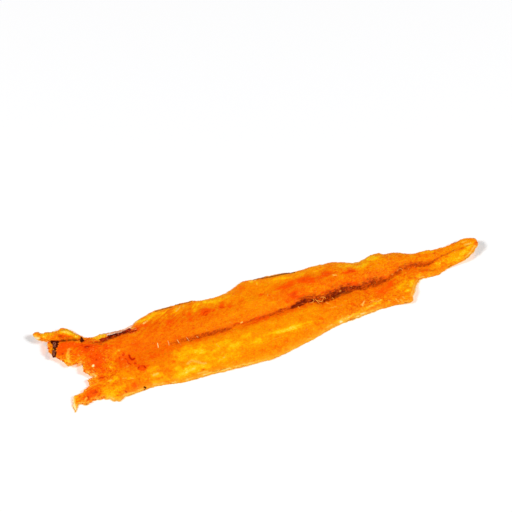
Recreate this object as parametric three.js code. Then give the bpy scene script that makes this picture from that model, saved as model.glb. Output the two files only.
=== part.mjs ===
// Dried blue whiting fillet: one side of the fish with its skin on, salted and
// dried flat, the forked flesh of the head end at -X and the tail at +X.
// Millimetres, +Z up.  The fillet lies on its skin side, flesh side up.
import * as THREE from 'three';

// ---- driving sizes ---------------------------------------------------------
const LENGTH = 176.8;            // flap tip to tail tip; the stations below are for 176.8
const LOIN_THICK = 1.15;         // extra flesh over the upper (back) muscle
const BELLY_THICK = 0.55;        // extra flesh over the lower (belly) muscle
const SHEET = 1.55;              // dried flesh in the plain middle
const GROOVE = 0.55;             // depth of the mid-line groove
const EDGE = 0.5;                // thickness of the thin dried edge
const EDGE_RUN = 3.2;            // how far in from the edge the flesh thins
const RAGGED = 0.22;             // tear of the dried edge, each way

// lift of the curled ends over the table
const FLAP_LIFT = 3.5;           // upper fork prong and its flap
const NOTCH_LIFT = 2.1;          // torn edge between the prongs
const PRONG_LIFT = 1.0;          // lower fork prong
const TAIL_LIFT = 3.75, TAIL_CURL = 17;   // tail tip, and the run it curls over
const FIN_LIFT = 1.9;            // corner in front of the tail notch

// edge stations as [x, y], from the head end to the tail
const UPPER = [
  [-79.3, 19.7], [-77.9, 20.2], [-76.6, 19.5], [-72.0, 18.9],   // flap, its top edge
  [-68.4, 20.1], [-66.2, 19.4], [-60.8, 14.0], [-56.5, 13.5],   // fold of the flap
  [-50.3, 12.1], [-44.0, 12.4], [-40.3, 14.9],           // waist, torn shoulder
  [-31.5, 16.7], [-17.0, 16.2], [-8.0, 14.8], [-4.0, 15.1],     // back of the loin
  [5.0, 18.3], [12.0, 17.4], [24.0, 15.8], [40.0, 15.1], // widest part
  [50.5, 11.7], [57.4, 13.0], [66.0, 10.8],              // second fin hollow
  [73.8, 8.2], [81.0, 7.3], [88.0, 6.9], [93.0, 7.1], [96.0, 5.9],
];
const LOWER = [
  [-72.4, -14.9], [-71.1, -12.7], [-66.5, -13.3],        // lower prong
  [-60.5, -13.5], [-55.3, -16.4], [-51.8, -15.3],        // belly flap corner
  [-43.0, -14.6], [-30.0, -16.8], [-14.0, -17.2],
  [4.0, -18.4], [13.0, -17.1], [34.0, -12.4],            // belly
  [50.5, -11.2], [57.0, -11.6], [63.0, -12.9],           // fin corner
  [64.3, -11.2], [66.2, -8.4], [70.9, -3.7],             // tail notch
  [78.0, -4.2], [84.0, -2.7], [91.0, -2.0], [94.6, -0.2],
];
// head end, x for a height y: lower prong, torn notch, upper prong, flap
const HEAD = [
  [-14.9, -72.4], [-12.0, -72.8], [-9.0, -71.4], [-8.1, -67.6],
  [-6.5, -64.8], [-3.4, -63.4], [-0.9, -65.3], [2.2, -65.5],
  [3.0, -69.4], [7.7, -73.6], [11.7, -76.0], [15.0, -75.5],
  [16.4, -78.0], [18.6, -79.5], [19.7, -79.3],
];
// rounded tail end, x for a height y
const TAIL = [[-0.2, 94.6], [1.5, 96.3], [3.2, 97.5], [4.7, 97.4], [5.9, 96.0]];

// ---- small functions -------------------------------------------------------
const clamp = (v, a, b) => Math.min(b, Math.max(a, v));
const smooth = (a, b, x) => { const t = clamp((x - a) / (b - a), 0, 1); return t * t * (3 - 2 * t); };
const hill = (x, y, cx, cy, sx, sy) => Math.exp(-(((x - cx) / sx) ** 2) - (((y - cy) / sy) ** 2));
const lerp = (a, b, t) => a + (b - a) * t;

// monotone cubic through the stations
function through(pts) {
  const n = pts.length, xs = pts.map(p => p[0]), ys = pts.map(p => p[1]);
  const h = [], d = [], m = new Array(n).fill(0);
  for (let i = 0; i < n - 1; i++) { h.push(xs[i + 1] - xs[i]); d.push((ys[i + 1] - ys[i]) / h[i]); }
  for (let i = 1; i < n - 1; i++) if (d[i - 1] * d[i] > 0) {
    const a = 2 * h[i] + h[i - 1], b = h[i] + 2 * h[i - 1];
    m[i] = (a + b) / (a / d[i - 1] + b / d[i]);
  }
  m[0] = d[0]; m[n - 1] = d[n - 2];
  return x => {
    x = clamp(x, xs[0], xs[n - 1]);
    let i = 0;
    while (i < n - 2 && x >= xs[i + 1]) i++;
    const t = (x - xs[i]) / h[i], u = 1 - t;
    return ys[i] * (1 + 2 * t) * u * u + m[i] * h[i] * t * u * u
         + ys[i + 1] * t * t * (3 - 2 * t) - m[i + 1] * h[i] * t * t * u;
  };
}
const upper = through(UPPER), lower = through(LOWER), head = through(HEAD), tail = through(TAIL);

// ragged tear along the edge, a sum of waves of a few lengths
const tear = u => RAGGED * (0.5 * Math.sin(u * 1.31 + 0.4) + 0.32 * Math.sin(u * 2.73 + 1.9)
  + 0.18 * Math.sin(u * 5.9 + 4.1));

// ---- outline as a four-sided patch -----------------------------------------
// s runs from the head end (0) to the tail end (1), w from the lower edge (0)
// to the upper edge (1)
const xU0 = UPPER[0][0], xU1 = UPPER.at(-1)[0], xL0 = LOWER[0][0], xL1 = LOWER.at(-1)[0];
const edgeU = s => { const x = lerp(xU0, xU1, s); return [x, upper(x) + tear(x)]; };
const edgeL = s => { const x = lerp(xL0, xL1, s); return [x, lower(x) + tear(x + 37)]; };
const HEAD_RUN = 0.3, TAIL_RUN = 0.12;      // how far the ends' shapes reach in

function plan(s, w) {
  const U = edgeU(s), L = edgeL(s), U0 = edgeU(0), L0 = edgeL(0), U1 = edgeU(1), L1 = edgeL(1);
  const yh = lerp(L0[1], U0[1], w), yt = lerp(L1[1], U1[1], w);
  const ends = 4 * w * (1 - w);             // keeps the corners where they are
  const dxh = head(yh) - lerp(L0[0], U0[0], w) + ends * tear(yh * 1.7);
  const dxt = tail(yt) - lerp(L1[0], U1[0], w);
  const bh = clamp(1 - s / HEAD_RUN, 0, 1) ** 2, bt = clamp(1 - (1 - s) / TAIL_RUN, 0, 1) ** 2;
  return [lerp(L[0], U[0], w) + bh * dxh + bt * dxt, lerp(L[1], U[1], w)];
}

// ---- form over the table ---------------------------------------------------
// mid-line of the muscle, from the head end to the tail
const midline = through([[-80, 1], [-30, 0.4], [-8, -0.3], [20, 0.6], [45, 0.2], [60, 1.6], [70, 2.7], [80, 2.4], [97, 4]]);

function lift(x, y) {
  const run = clamp((-54 - x) / 25, 0, 2) ** 1.5;
  let z = FLAP_LIFT * run * smooth(-4, 10, y);
  z += NOTCH_LIFT * hill(x, y, -65.5, 0, 6, 5) + PRONG_LIFT * hill(x, y, -69, -8, 5, 4);
  z += TAIL_LIFT * clamp((x - 80) / TAIL_CURL, 0, 2) ** 1.5;
  z += FIN_LIFT * hill(x, y, 65.5, -9, 5, 5);
  // the long edges stand a little off the table, in slow waves
  const m = midline(x);
  const wave = 0.5 + 0.5 * Math.sin(x * 0.113 + (y > m ? 0.6 : 2.4));
  z += 0.35 * wave * smooth(8.5, 15.5, Math.abs(y - m)) * smooth(64, 50, Math.abs(x + 2));
  return z < 0.02 ? 0 : z;                  // flat where it lies on the table
}

function thickness(x, y, in_) {
  const m = midline(x);
  const body = smooth(-74, -52, x) * smooth(94, 48, x);
  let t = lerp(1.0, SHEET, body);
  t += LOIN_THICK * body * Math.exp(-(((y - m - 6.6) / 4.6) ** 2));
  t += BELLY_THICK * body * Math.exp(-(((y - m + 6.2) / 4.4) ** 2));
  t -= GROOVE * body * Math.exp(-(((y - m) / 1.5) ** 2));
  t += 0.12 * Math.sin(x * 0.42 + 0.30 * y) * Math.sin(0.55 * y + 1.3);   // shrinkage waves
  t += 0.7 * hill(x, y, -67.5, 18.2, 2.6, 1.4);                          // rolled fold of the flap
  return EDGE + (Math.max(t, EDGE + 0.1) - EDGE) * (1 - Math.exp(-in_ / EDGE_RUN * 2.0));
}

// ---- solid: a grid of top and bottom points, closed round the edge ----------
const NS = 92, NW = 14;
const spread = s => s - 0.075 * Math.sin(2 * Math.PI * s);    // closer columns at both ends

function fillet() {
  const rim = [];
  for (let i = 0; i <= 400; i++) { rim.push(plan(i / 400, 0), plan(i / 400, 1)); }
  for (let j = 0; j <= 80; j++) { rim.push(plan(0, j / 80), plan(1, j / 80)); }
  const inset = (x, y) => Math.sqrt(rim.reduce((b, p) => Math.min(b, (p[0] - x) ** 2 + (p[1] - y) ** 2), 1e9));
  const top = [], bottom = [];
  for (let i = 0; i <= NS; i++) for (let j = 0; j <= NW; j++) {
    const [x, y] = plan(spread(i / NS), j / NW);
    const onRim = i === 0 || i === NS || j === 0 || j === NW;
    const z = lift(x, y), t = thickness(x, y, onRim ? 0 : inset(x, y));
    top.push([x, y, z + t]); bottom.push([x, y, z]);
  }
  const pts = top.concat(bottom), N = top.length, id = (i, j) => i * (NW + 1) + j, idx = [];
  const quad = (a, b, c, d) => idx.push(a, b, c, a, c, d);
  for (let i = 0; i < NS; i++) for (let j = 0; j < NW; j++) {
    const a = id(i, j), b = id(i + 1, j), c = id(i + 1, j + 1), d = id(i, j + 1);
    quad(a, b, c, d);
    quad(N + a, N + d, N + c, N + b);
  }
  for (let i = 0; i < NS; i++) {
    let a = id(i, 0), b = id(i + 1, 0); quad(b, a, N + a, N + b);
    a = id(i, NW); b = id(i + 1, NW); quad(a, b, N + b, N + a);
  }
  for (let j = 0; j < NW; j++) {
    let a = id(0, j), b = id(0, j + 1); quad(a, b, N + b, N + a);
    a = id(NS, j); b = id(NS, j + 1); quad(b, a, N + a, N + b);
  }
  // origin at the centre of the footprint, on the table
  const lo = [1e9, 1e9, 1e9], hi = [-1e9, -1e9, -1e9];
  for (const p of pts) for (let k = 0; k < 3; k++) { lo[k] = Math.min(lo[k], p[k]); hi[k] = Math.max(hi[k], p[k]); }
  const o = [(lo[0] + hi[0]) / 2, (lo[1] + hi[1]) / 2, lo[2]];
  const geo = new THREE.BufferGeometry();
  const scale = LENGTH / 176.8;
  geo.setAttribute('position', new THREE.Float32BufferAttribute(pts.flatMap(p => p.map((v, k) => (v - o[k]) * scale)), 3));
  geo.setIndex(idx);
  geo.computeVertexNormals();
  return geo;
}

const fish = new THREE.MeshStandardMaterial({ color: 0xf58311, roughness: 0.42, metalness: 0.0 });
const mesh = new THREE.Mesh(fillet(), fish);
mesh.name = 'fillet';

const part = new THREE.Group();
part.add(mesh);

export default part;
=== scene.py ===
# Dried blue whiting fillet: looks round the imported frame.
# The fillet is drawn in a sketch frame in millimetres (x along the fish, head
# end at -x, y up to the back edge, z up from the table).  to_frame() brings
# a sketch point to the frame: metres, origin at the centre of the footprint.
import math
import bmesh
import bpy
import numpy as np
from mathutils import Vector, Matrix
from mathutils.geometry import delaunay_2d_cdt
from mathutils.kdtree import KDTree


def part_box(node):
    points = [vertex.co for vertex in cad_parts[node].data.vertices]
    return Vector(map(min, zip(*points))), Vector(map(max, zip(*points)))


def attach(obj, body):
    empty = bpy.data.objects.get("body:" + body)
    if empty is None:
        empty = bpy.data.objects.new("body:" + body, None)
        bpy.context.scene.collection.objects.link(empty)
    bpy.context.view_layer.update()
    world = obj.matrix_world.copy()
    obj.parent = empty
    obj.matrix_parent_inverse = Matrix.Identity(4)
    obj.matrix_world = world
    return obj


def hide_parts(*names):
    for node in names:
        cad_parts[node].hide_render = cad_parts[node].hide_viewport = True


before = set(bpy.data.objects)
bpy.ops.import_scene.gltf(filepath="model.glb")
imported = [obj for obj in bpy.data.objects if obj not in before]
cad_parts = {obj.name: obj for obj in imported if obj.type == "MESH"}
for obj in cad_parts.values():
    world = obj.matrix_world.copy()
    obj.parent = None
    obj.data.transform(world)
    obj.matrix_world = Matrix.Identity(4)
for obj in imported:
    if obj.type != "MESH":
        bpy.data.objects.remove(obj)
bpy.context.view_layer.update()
NODE_LO, NODE_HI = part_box("fillet")

# the sketch's own box centre, which is the frame's origin
SKETCH_X, SKETCH_Y = 9.0957, 0.8378
MM = (NODE_HI.x - NODE_LO.x) / 176.807          # 0.001 at the size drawn


def to_frame(p):
    """Sketch points (n, 3) in mm to frame points in metres."""
    p = np.asarray(p, float)
    return (p - np.array([SKETCH_X, SKETCH_Y, 0.0])) * MM


# ---------------------------------------------------------------- functions
def through(pts):
    """Monotone cubic through [x, y] stations."""
    xs = np.array([p[0] for p in pts], float)
    ys = np.array([p[1] for p in pts], float)
    h = np.diff(xs)
    d = np.diff(ys) / h
    m = np.zeros_like(xs)
    for i in range(1, len(xs) - 1):
        if d[i - 1] * d[i] > 0:
            a, b = 2 * h[i] + h[i - 1], h[i] + 2 * h[i - 1]
            m[i] = (a + b) / (a / d[i - 1] + b / d[i])
    m[0], m[-1] = d[0], d[-1]

    def f(x):
        x = np.clip(np.asarray(x, float), xs[0], xs[-1])
        i = np.clip(np.searchsorted(xs, x, side="right") - 1, 0, len(xs) - 2)
        t = (x - xs[i]) / h[i]
        u = 1 - t
        return (ys[i] * (1 + 2 * t) * u * u + m[i] * h[i] * t * u * u
                + ys[i + 1] * t * t * (3 - 2 * t) - m[i + 1] * h[i] * t * t * u)
    return f


def smooth(a, b, x):
    t = np.clip((np.asarray(x, float) - a) / (b - a), 0, 1)
    return t * t * (3 - 2 * t)


def hill(x, y, cx, cy, sx, sy, turn=0.0):
    c, s = math.cos(math.radians(turn)), math.sin(math.radians(turn))
    u, v = (x - cx) * c + (y - cy) * s, -(x - cx) * s + (y - cy) * c
    return np.exp(-(u / sx) ** 2 - (v / sy) ** 2)


def to_line(x, y, pts):
    """Distance to a polyline and how far along it, 0 to 1."""
    best = np.full(np.shape(x), 1e9)
    along = np.zeros(np.shape(x))
    seg = [math.dist(pts[i], pts[i + 1]) for i in range(len(pts) - 1)]
    total, run = sum(seg), 0.0
    for (ax, ay), (bx, by), L in zip(pts[:-1], pts[1:], seg):
        dx, dy = bx - ax, by - ay
        t = np.clip(((x - ax) * dx + (y - ay) * dy) / (L * L), 0, 1)
        d = np.hypot(x - ax - t * dx, y - ay - t * dy)
        near = d < best
        best = np.where(near, d, best)
        along = np.where(near, (run + t * L) / total, along)
        run += L
    return best, along


class Noise:
    """Smooth lattice noise, the same on every run."""

    def __init__(self, seed):
        self.g = np.random.default_rng(seed).random((256, 256))

    def at(self, x, y):
        xi, yi = np.floor(x).astype(int), np.floor(y).astype(int)
        fx, fy = x - xi, y - yi
        u, v = fx * fx * (3 - 2 * fx), fy * fy * (3 - 2 * fy)
        g = self.g
        a, b = g[xi & 255, yi & 255], g[(xi + 1) & 255, yi & 255]
        c, d = g[xi & 255, (yi + 1) & 255], g[(xi + 1) & 255, (yi + 1) & 255]
        return (a * (1 - u) + b * u) * (1 - v) + (c * (1 - u) + d * u) * v

    def fbm(self, x, y, octaves=3, rough=0.5):
        total, amp, norm = 0.0, 1.0, 0.0
        for k in range(octaves):
            total = total + amp * self.at(x * 2 ** k + 13.7 * k, y * 2 ** k + 7.3 * k)
            norm += amp
            amp *= rough
        return total / norm


N1, N2, N3, N4, N5, N6 = (Noise(s) for s in (11, 23, 37, 53, 71, 97))

# ---------------------------------------------------------------- outline
UPPER = [   # back edge, from the waist to the tail tip
    [-48.0, 12.5], [-44.0, 12.4], [-42.2, 12.7], [-40.3, 14.1], [-36.2, 15.6], [-31.5, 16.65],
    [-17.0, 16.3], [-15.0, 15.5], [-8.0, 14.8], [-4.0, 15.0], [0.0, 16.2],
    [5.0, 17.9], [9.0, 17.4], [14.0, 17.1], [20.0, 16.6], [25.0, 15.6], [32.0, 15.6],
    [40.3, 15.0], [50.5, 11.7], [57.4, 13.1], [59.9, 13.0], [60.7, 12.1], [65.4, 11.3],
    [66.4, 10.9], [73.8, 8.2], [77.5, 8.1], [81.0, 7.4], [88.0, 6.9], [93.0, 7.1],
    [96.0, 6.0],
]
LOWER = [   # belly edge, from the waist to the tail tip
    [-56.1, -15.4], [-55.3, -15.6], [-53.0, -14.7], [-51.8, -14.8], [-43.0, -14.2],
    [-37.0, -14.8], [-29.6, -16.05], [-22.0, -16.2], [-14.0, -16.75], [-4.9, -17.35], [0.0, -17.45],
    [4.0, -17.7], [13.0, -16.4], [24.0, -14.15], [33.0, -12.05], [38.0, -11.5], [45.0, -11.1],
    [50.5, -10.75], [57.0, -10.95], [60.5, -11.5], [62.8, -11.9], [63.7, -12.0], [64.5, -11.2], [64.7, -10.2],
    [65.9, -8.6], [66.9, -6.9], [68.3, -5.2], [70.9, -3.3], [78.0, -3.6], [83.0, -2.35],
    [91.0, -1.35], [94.6, 0.2],
]
HEAD = [    # torn head end: back edge, flap, upper prong, notch, lower prong, belly edge
    (-48.0, 12.5), (-50.7, 12.6), (-54.9, 13.45), (-58.3, 13.15), (-59.7, 13.45), (-61.0, 14.0),
    (-62.0, 14.9), (-66.4, 19.55), (-67.8, 20.05), (-68.7, 20.05), (-70.4, 19.45), (-73.7, 19.45),
    (-74.4, 19.8), (-75.7, 19.6), (-77.7, 20.7), (-78.4, 20.8), (-79.1, 20.3), (-79.4, 19.5),
    (-78.7, 18.0), (-78.0, 17.3), (-76.2, 16.3), (-74.3, 15.8), (-75.3, 14.5), (-75.5, 12.3),
    (-75.5, 11.6), (-74.7, 10.3), (-74.6, 9.4), (-73.3, 8.5), (-72.7, 7.5), (-71.9, 6.9),
    (-69.9, 3.6), (-68.8, 3.5), (-67.3, 3.4), (-66.2, 3.5), (-65.3, 3.3), (-64.9, 2.0), (-64.8, 0.8), (-65.0, -0.6),
    (-64.5, -1.5), (-63.8, -2.0), (-63.1, -2.9), (-61.5, -3.4), (-63.0, -3.7), (-64.6, -4.5), (-63.9, -5.1), (-64.5, -5.6),
    (-64.4, -6.3), (-65.3, -7.2), (-66.5, -7.6), (-67.5, -8.3), (-69.2, -8.7), (-70.4, -9.0), (-71.3, -8.6),
    (-71.9, -9.5), (-72.4, -11.0), (-72.7, -12.5), (-72.5, -14.8),
    (-70.7, -12.2), (-69.9, -12.1), (-67.9, -13.4), (-64.8, -12.5), (-61.1, -12.75),
    (-58.7, -13.7), (-57.2, -15.3), (-56.1, -15.4),
]
TAIL = [[0.2, 94.6], [1.5, 96.3], [3.2, 97.5], [4.7, 97.4], [6.0, 96.0]]
upper, lower, tail = through(UPPER), through(LOWER), through(TAIL)


def resample(P, step):
    """Closed loop at an even spacing."""
    Q = np.vstack([P, P[:1]])
    s = np.concatenate([[0], np.cumsum(np.hypot(*np.diff(Q, axis=0).T))])
    n = max(8, int(round(s[-1] / step)))
    t = np.arange(n) * s[-1] / n
    return np.stack([np.interp(t, s, Q[:, 0]), np.interp(t, s, Q[:, 1])], 1)


def loop_normals(P, reach=1):
    T = np.roll(P, -reach, 0) - np.roll(P, reach, 0)
    T /= np.maximum(np.hypot(T[:, 0], T[:, 1]), 1e-9)[:, None]
    return np.stack([T[:, 1], -T[:, 0]], 1)       # outwards on a loop that runs anticlockwise


def rounded(P, step, reach):
    """Open line at an even spacing, its corners eased over reach."""
    s = np.concatenate([[0], np.cumsum(np.hypot(*np.diff(P, axis=0).T))])
    t = np.linspace(0, s[-1], int(s[-1] / step) + 1)
    Q = np.stack([np.interp(t, s, P[:, 0]), np.interp(t, s, P[:, 1])], 1)
    n = int(reach / step)
    k = np.hanning(2 * n + 3)[1:-1]
    k /= k.sum()
    R = np.pad(Q, ((n, n), (0, 0)), "reflect", reflect_type="odd")
    return np.stack([np.convolve(R[:, 0], k, "valid"), np.convolve(R[:, 1], k, "valid")], 1)


def outline(step=0.24):
    xl = np.linspace(-56.1, 94.6, 900)
    xu = np.linspace(96.0, -48.0, 900)
    yt = np.linspace(0.2, 6.0, 40)
    P = np.vstack([np.stack([xl, lower(xl)], 1), np.stack([tail(yt), yt], 1)[1:-1],
                   np.stack([xu, upper(xu)], 1), rounded(np.array(HEAD), 0.1, 0.35)[1:-1]])
    P = resample(P, 0.2)
    # tear of the edge: coarse bites and fine fray
    N = loop_normals(P)
    torn = smooth(-52, -64, P[:, 0])
    coarse = N1.fbm(P[:, 0] * 0.9, P[:, 1] * 0.9, 3) - 0.5
    fine = N2.fbm(P[:, 0] * 2.6, P[:, 1] * 2.6, 2) - 0.5
    push = coarse * (0.45 - 0.1 * torn) + fine * (0.28 + 0.30 * torn)
    P = P + N * push[:, None]
    return resample(P, step)


RIM = outline()
_rim_fine = resample(RIM, 0.1)
_tree = KDTree(len(_rim_fine))
for _i, _p in enumerate(_rim_fine):
    _tree.insert((_p[0], _p[1], 0.0), _i)
_tree.balance()


def inset(x, y):
    """Distance in from the edge."""
    return np.array([_tree.find((a, b, 0.0))[2] for a, b in zip(x, y)])


def inside(P, loop):
    """Which points lie inside the loop (even-odd rule)."""
    x, y = P[:, 0], P[:, 1]
    hit = np.zeros(len(P), bool)
    A, B = loop, np.roll(loop, -1, 0)
    for (ax, ay), (bx, by) in zip(A, B):
        if ay == by:
            continue
        c = (ay > y) != (by > y)
        if c.any():
            xs = ax + (y[c] - ay) * (bx - ax) / (by - ay)
            hit[np.where(c)[0][x[c] < xs]] ^= True
    return hit


# ---------------------------------------------------------------- marks
# Where the fillet's own marks lie, in the sketch, as seen from the usual side.
GOLD = [   # x, y, reach along, reach across, strength, turn
    [-55.7, 11.9, 1.5, 0.75, 1.0, 0], [-53.6, 11.5, 0.9, 0.7, 1.0, 0], [-51.6, 3.4, 0.6, 0.5, 0.7, 0],
    (-75.6, 19.1, 2.8, 1, 0.62, -14), (-72.4, 18.8, 1.6, 0.7, 0.5, -19), (-67, 18.3, 1.8, 0.7, 1, -26),
    (-65.6, 17.1, 1.4, 0.7, 0.85, -57), (-64.1, 15, 1.3, 0.6, 0.55, -54), (-69.1, 7.6, 3.9, 0.6, 1, 70),
    (-70.1, 6.4, 1.4, 1.2, 0.5, 71), (-64.6, 5, 1.2, 0.5, 0.55, 71), (-64.2, 1.8, 1.6, 0.6, 0.5, 88),
    (-56.3, 12.4, 2.1, 0.6, 0.85, -2), (-53.8, 12.1, 1, 0.6, 0.72, -19), (-63.8, -4.4, 1, 0.9, 0.55, 71),
    (-61.9, -6.8, 2.3, 1, 0.42, 22), (-55.1, -2.1, 1.5, 0.6, 1.05, -50), (-56.4, -7.2, 1.7, 0.6, 0.95, 7), (-53.3, -0.3, 0.7, 0.5, 0.6, -60),
    (-63.4, 0.8, 0.8, 0.5, 0.6, 65), (-69.8, 6.0, 1.2, 0.8, 0.8, 80), (-67.2, 18.8, 2.2, 0.5, 0.7, -20), (-64.2, 14.9, 1.6, 0.5, 0.9, -30),
    (-50.2, 4.2, 0.7, 0.5, 0.8, -30), (-54.1, -6.6, 0.7, 0.5, 0.6, 60),
    (-54.3, -6.7, 1.9, 0.7, 0.52, 3), (-59.4, -10.5, 2.1, 1.9, 0.56, 44), (-57.1, -12.6, 3, 1.6, 0.52, -6),
    (-53.7, -11.5, 2.8, 1.4, 0.5, -19), (-59.6, -13.1, 2.8, 0.6, 0.46, -12),
    (-48.9, -8.7, 1.3, 0.7, 0.6, -6), (-55.2, -15.4, 3.2, 0.8, 0.5, -12), (-71, -10, 1.6, 1, 0.62, 71),
    (-41.5, -7.7, 1.5, 1, 0.62, 2), (-38.7, -7.4, 1.3, 0.8, 0.66, -8), (-39.7, -10.2, 2, 1.1, 0.8, -3),
    (-43.7, -10.3, 1.7, 1.5, 0.42, -19), (-37.1, -11.4, 1.8, 1.2, 0.55, -19),
    (-40.8, -13.3, 2.6, 1.1, 0.62, -9), (-36.6, -13.5, 2.4, 1, 0.48, -11),
    (-30.6, -3.2, 1.7, 1.2, 0.72, -4), (-33.6, -7.8, 1.1, 0.9, 0.5, -19), (-31.5, -10, 1.8, 1.5, 0.62, -19),
    (-28.2, -5.8, 2.4, 1.8, 0.6, 0), (-26.1, -2.8, 2.6, 1.1, 0.46, -4), (-23.3, -5.2, 2.6, 1.6, 0.75, -8),
    (-20.2, -6.5, 2.2, 1.6, 0.8, -7), (-18.1, -4.3, 2.4, 0.8, 0.42, -4), (-27.9, -12.4, 2.5, 2, 1.05, 17),
    (-24.8, -12.5, 2.2, 1.7, 1.05, -6), (-30.2, -12.9, 2, 1.4, 0.72, 9), (-21.4, -12.6, 2, 1.2, 0.62, -8),
    (-22.4, -8.9, 2.8, 1, 0.52, -19), (-18, -10.1, 2, 1.3, 0.62, -8), (-32.9, -13.7, 2.4, 0.9, 0.5, -7),
    (-19.5, -13.5, 2, 1, 0.42, -6), (-16.9, -7.8, 1.6, 1.1, 0.45, -5), (-12.9, -5.6, 2, 1.3, 0.66, -3),
    (-14.5, -8, 1.8, 1.1, 0.46, -3), (-9.9, -5.4, 2.2, 1.1, 0.62, -4), (-8.2, -8.3, 2.2, 1.4, 0.72, 0),
    (-5.3, -8.2, 1.5, 1.4, 0.66, 71), (-10.6, -10.9, 2.8, 1.3, 0.58, -2),
    (-13.9, -12.2, 2.6, 1.2, 0.52, -2), (-6.7, -12.2, 2.4, 1.2, 0.42, 1), (-1.5, -5.8, 1.8, 0.9, 0.7, -4),
    (1.9, -9, 1.6, 1.2, 0.78, -1), (-1.5, -10.1, 2.2, 1.1, 0.46, -1), (4.4, -7.6, 1.8, 1, 0.48, -1),
    (5.3, -10.4, 1.8, 0.9, 0.42, -1), (9.6, -7.8, 2.6, 0.9, 0.68, 1), (13.3, -8.1, 2.8, 1, 0.82, -2),
    (16, -8.1, 2.2, 1.0, 0.9, -1), (11.3, -10.4, 2.8, 0.8, 0.42, 0), (18.8, -7.8, 2.4, 0.8, 0.48, -2),
    (22.5, -7.7, 2.6, 0.7, 0.5, -1), (29.2, -11.8, 2.3, 0.6, 0.6, 11), (28, 4.8, 1.1, 0.7, 0.78, -5),
    (33.7, 5.1, 2.6, 0.8, 0.5, 2), (34.3, -4.6, 1.8, 0.4, 0.6, -7), (27, 13.1, 2.8, 1, 0.56, -4),
    (32.9, 12.7, 1.6, 0.5, 0.55, 11), (35.5, 12.9, 1.7, 0.6, 0.46, 7), (42.5, 11.9, 1.9, 0.6, 0.45, -14),
    (46.2, 10.7, 2.8, 0.6, 0.66, -19), (49.2, 9.1, 2.2, 0.6, 0.72, -9), (52.7, 9.5, 2.1, 1, 0.74, 8),
    (55.5, 11, 1.7, 1.1, 0.85, 15), (57.9, 10.9, 1.7, 0.8, 0.55, -11), (39.5, 8.7, 1.2, 0.6, 0.5, -19),
    (38.3, -10.5, 3.0, 0.5, 1.5, 5), (35, -11.2, 1.8, 0.6, 0.6, 7), (42.7, -10, 1.8, 0.6, 0.62, 5),
    (47.6, -9.0, 1.7, 0.5, 1.1, 5), (50.6, -8.2, 1.7, 0.45, 1.15, -4), (52.9, -7.7, 0.9, 0.5, 1.0, 30), (50.0, -6.6, 1.1, 0.35, 0.9, -10),
    (45.3, -7.3, 1, 0.7, 0.55, 71), (54.8, -9.7, 2.4, 0.8, 0.42, -4), (63.7, -3.6, 2.2, 1.3, 0.66, 7),
    (63.6, -7, 1, 0.9, 1, -19), (66.6, -4.6, 1.9, 1.1, 0.92, 49), (69.7, -2.4, 1.8, 0.8, 0.9, -2),
    (61.4, -5.2, 1.3, 1.3, 0.45, -19), (61.7, -9, 0.9, 0.8, 0.55, -19), (62.2, -0.3, 1.5, 0.7, 0.46, 6),
    (80, 0.1, 1.4, 0.7, 0.78, -1), (83.4, 0.7, 2.4, 0.9, 0.6, 3), (87.6, 0, 2.2, 1.1, 0.8, 3),
    (86.5, 2.5, 2.2, 0.7, 0.55, 2), (91.1, 1.9, 2.3, 1.1, 0.86, 17), (93.8, 3.6, 1.7, 1, 0.86, 17),
    (95.6, 4.3, 1.1, 0.7, 0.6, 15), (92.8, 6.6, 2, 0.6, 0.42, 0), (76.6, 7.1, 2.4, 0.6, 0.6, -5),
    (79.7, 6.2, 2, 0.5, 0.45, -14), (-36.6, 13.5, 2.2, 0.8, 0.95, 10), (-34, 14.1, 1.7, 0.8, 0.8, 17),
    (-31.8, 14.8, 1.5, 0.7, 0.62, 10), (-39, 13.5, 1.4, 0.5, 0.6, -1), (-29.6, 14.4, 2, 0.7, 0.42, 2),
    (-23.7, 14.1, 1.2, 1, 0.66, 50), (-21, 14.4, 1.1, 0.8, 0.72, 55), (-17.7, 13.2, 1.5, 0.5, 0.62, 54),
    (-17, 11.5, 1.1, 1, 0.7, 87), (-15.5, 13.4, 1, 0.7, 0.6, -19), (-12.3, 13.2, 1.3, 0.6, 1, -14),
    (-9.8, 12.7, 2.2, 0.8, 0.66, -7), (-6.4, 12.6, 1.8, 0.7, 0.62, -2), (-3, 12.9, 1.9, 0.5, 0.44, 2),
    (7.3, 16.3, 0.9, 0.7, 0.85, -19), (9.2, 14.8, 1.1, 0.6, 0.72, 71), (16.5, 14.5, 1.6, 0.7, 0.5, -6),
    (19.8, 13.9, 2, 0.7, 0.82, -9), (22.9, 13.1, 2.1, 0.6, 0.42, -12), (12.4, 4.9, 1.7, 0.7, 0.42, -2),
]
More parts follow.
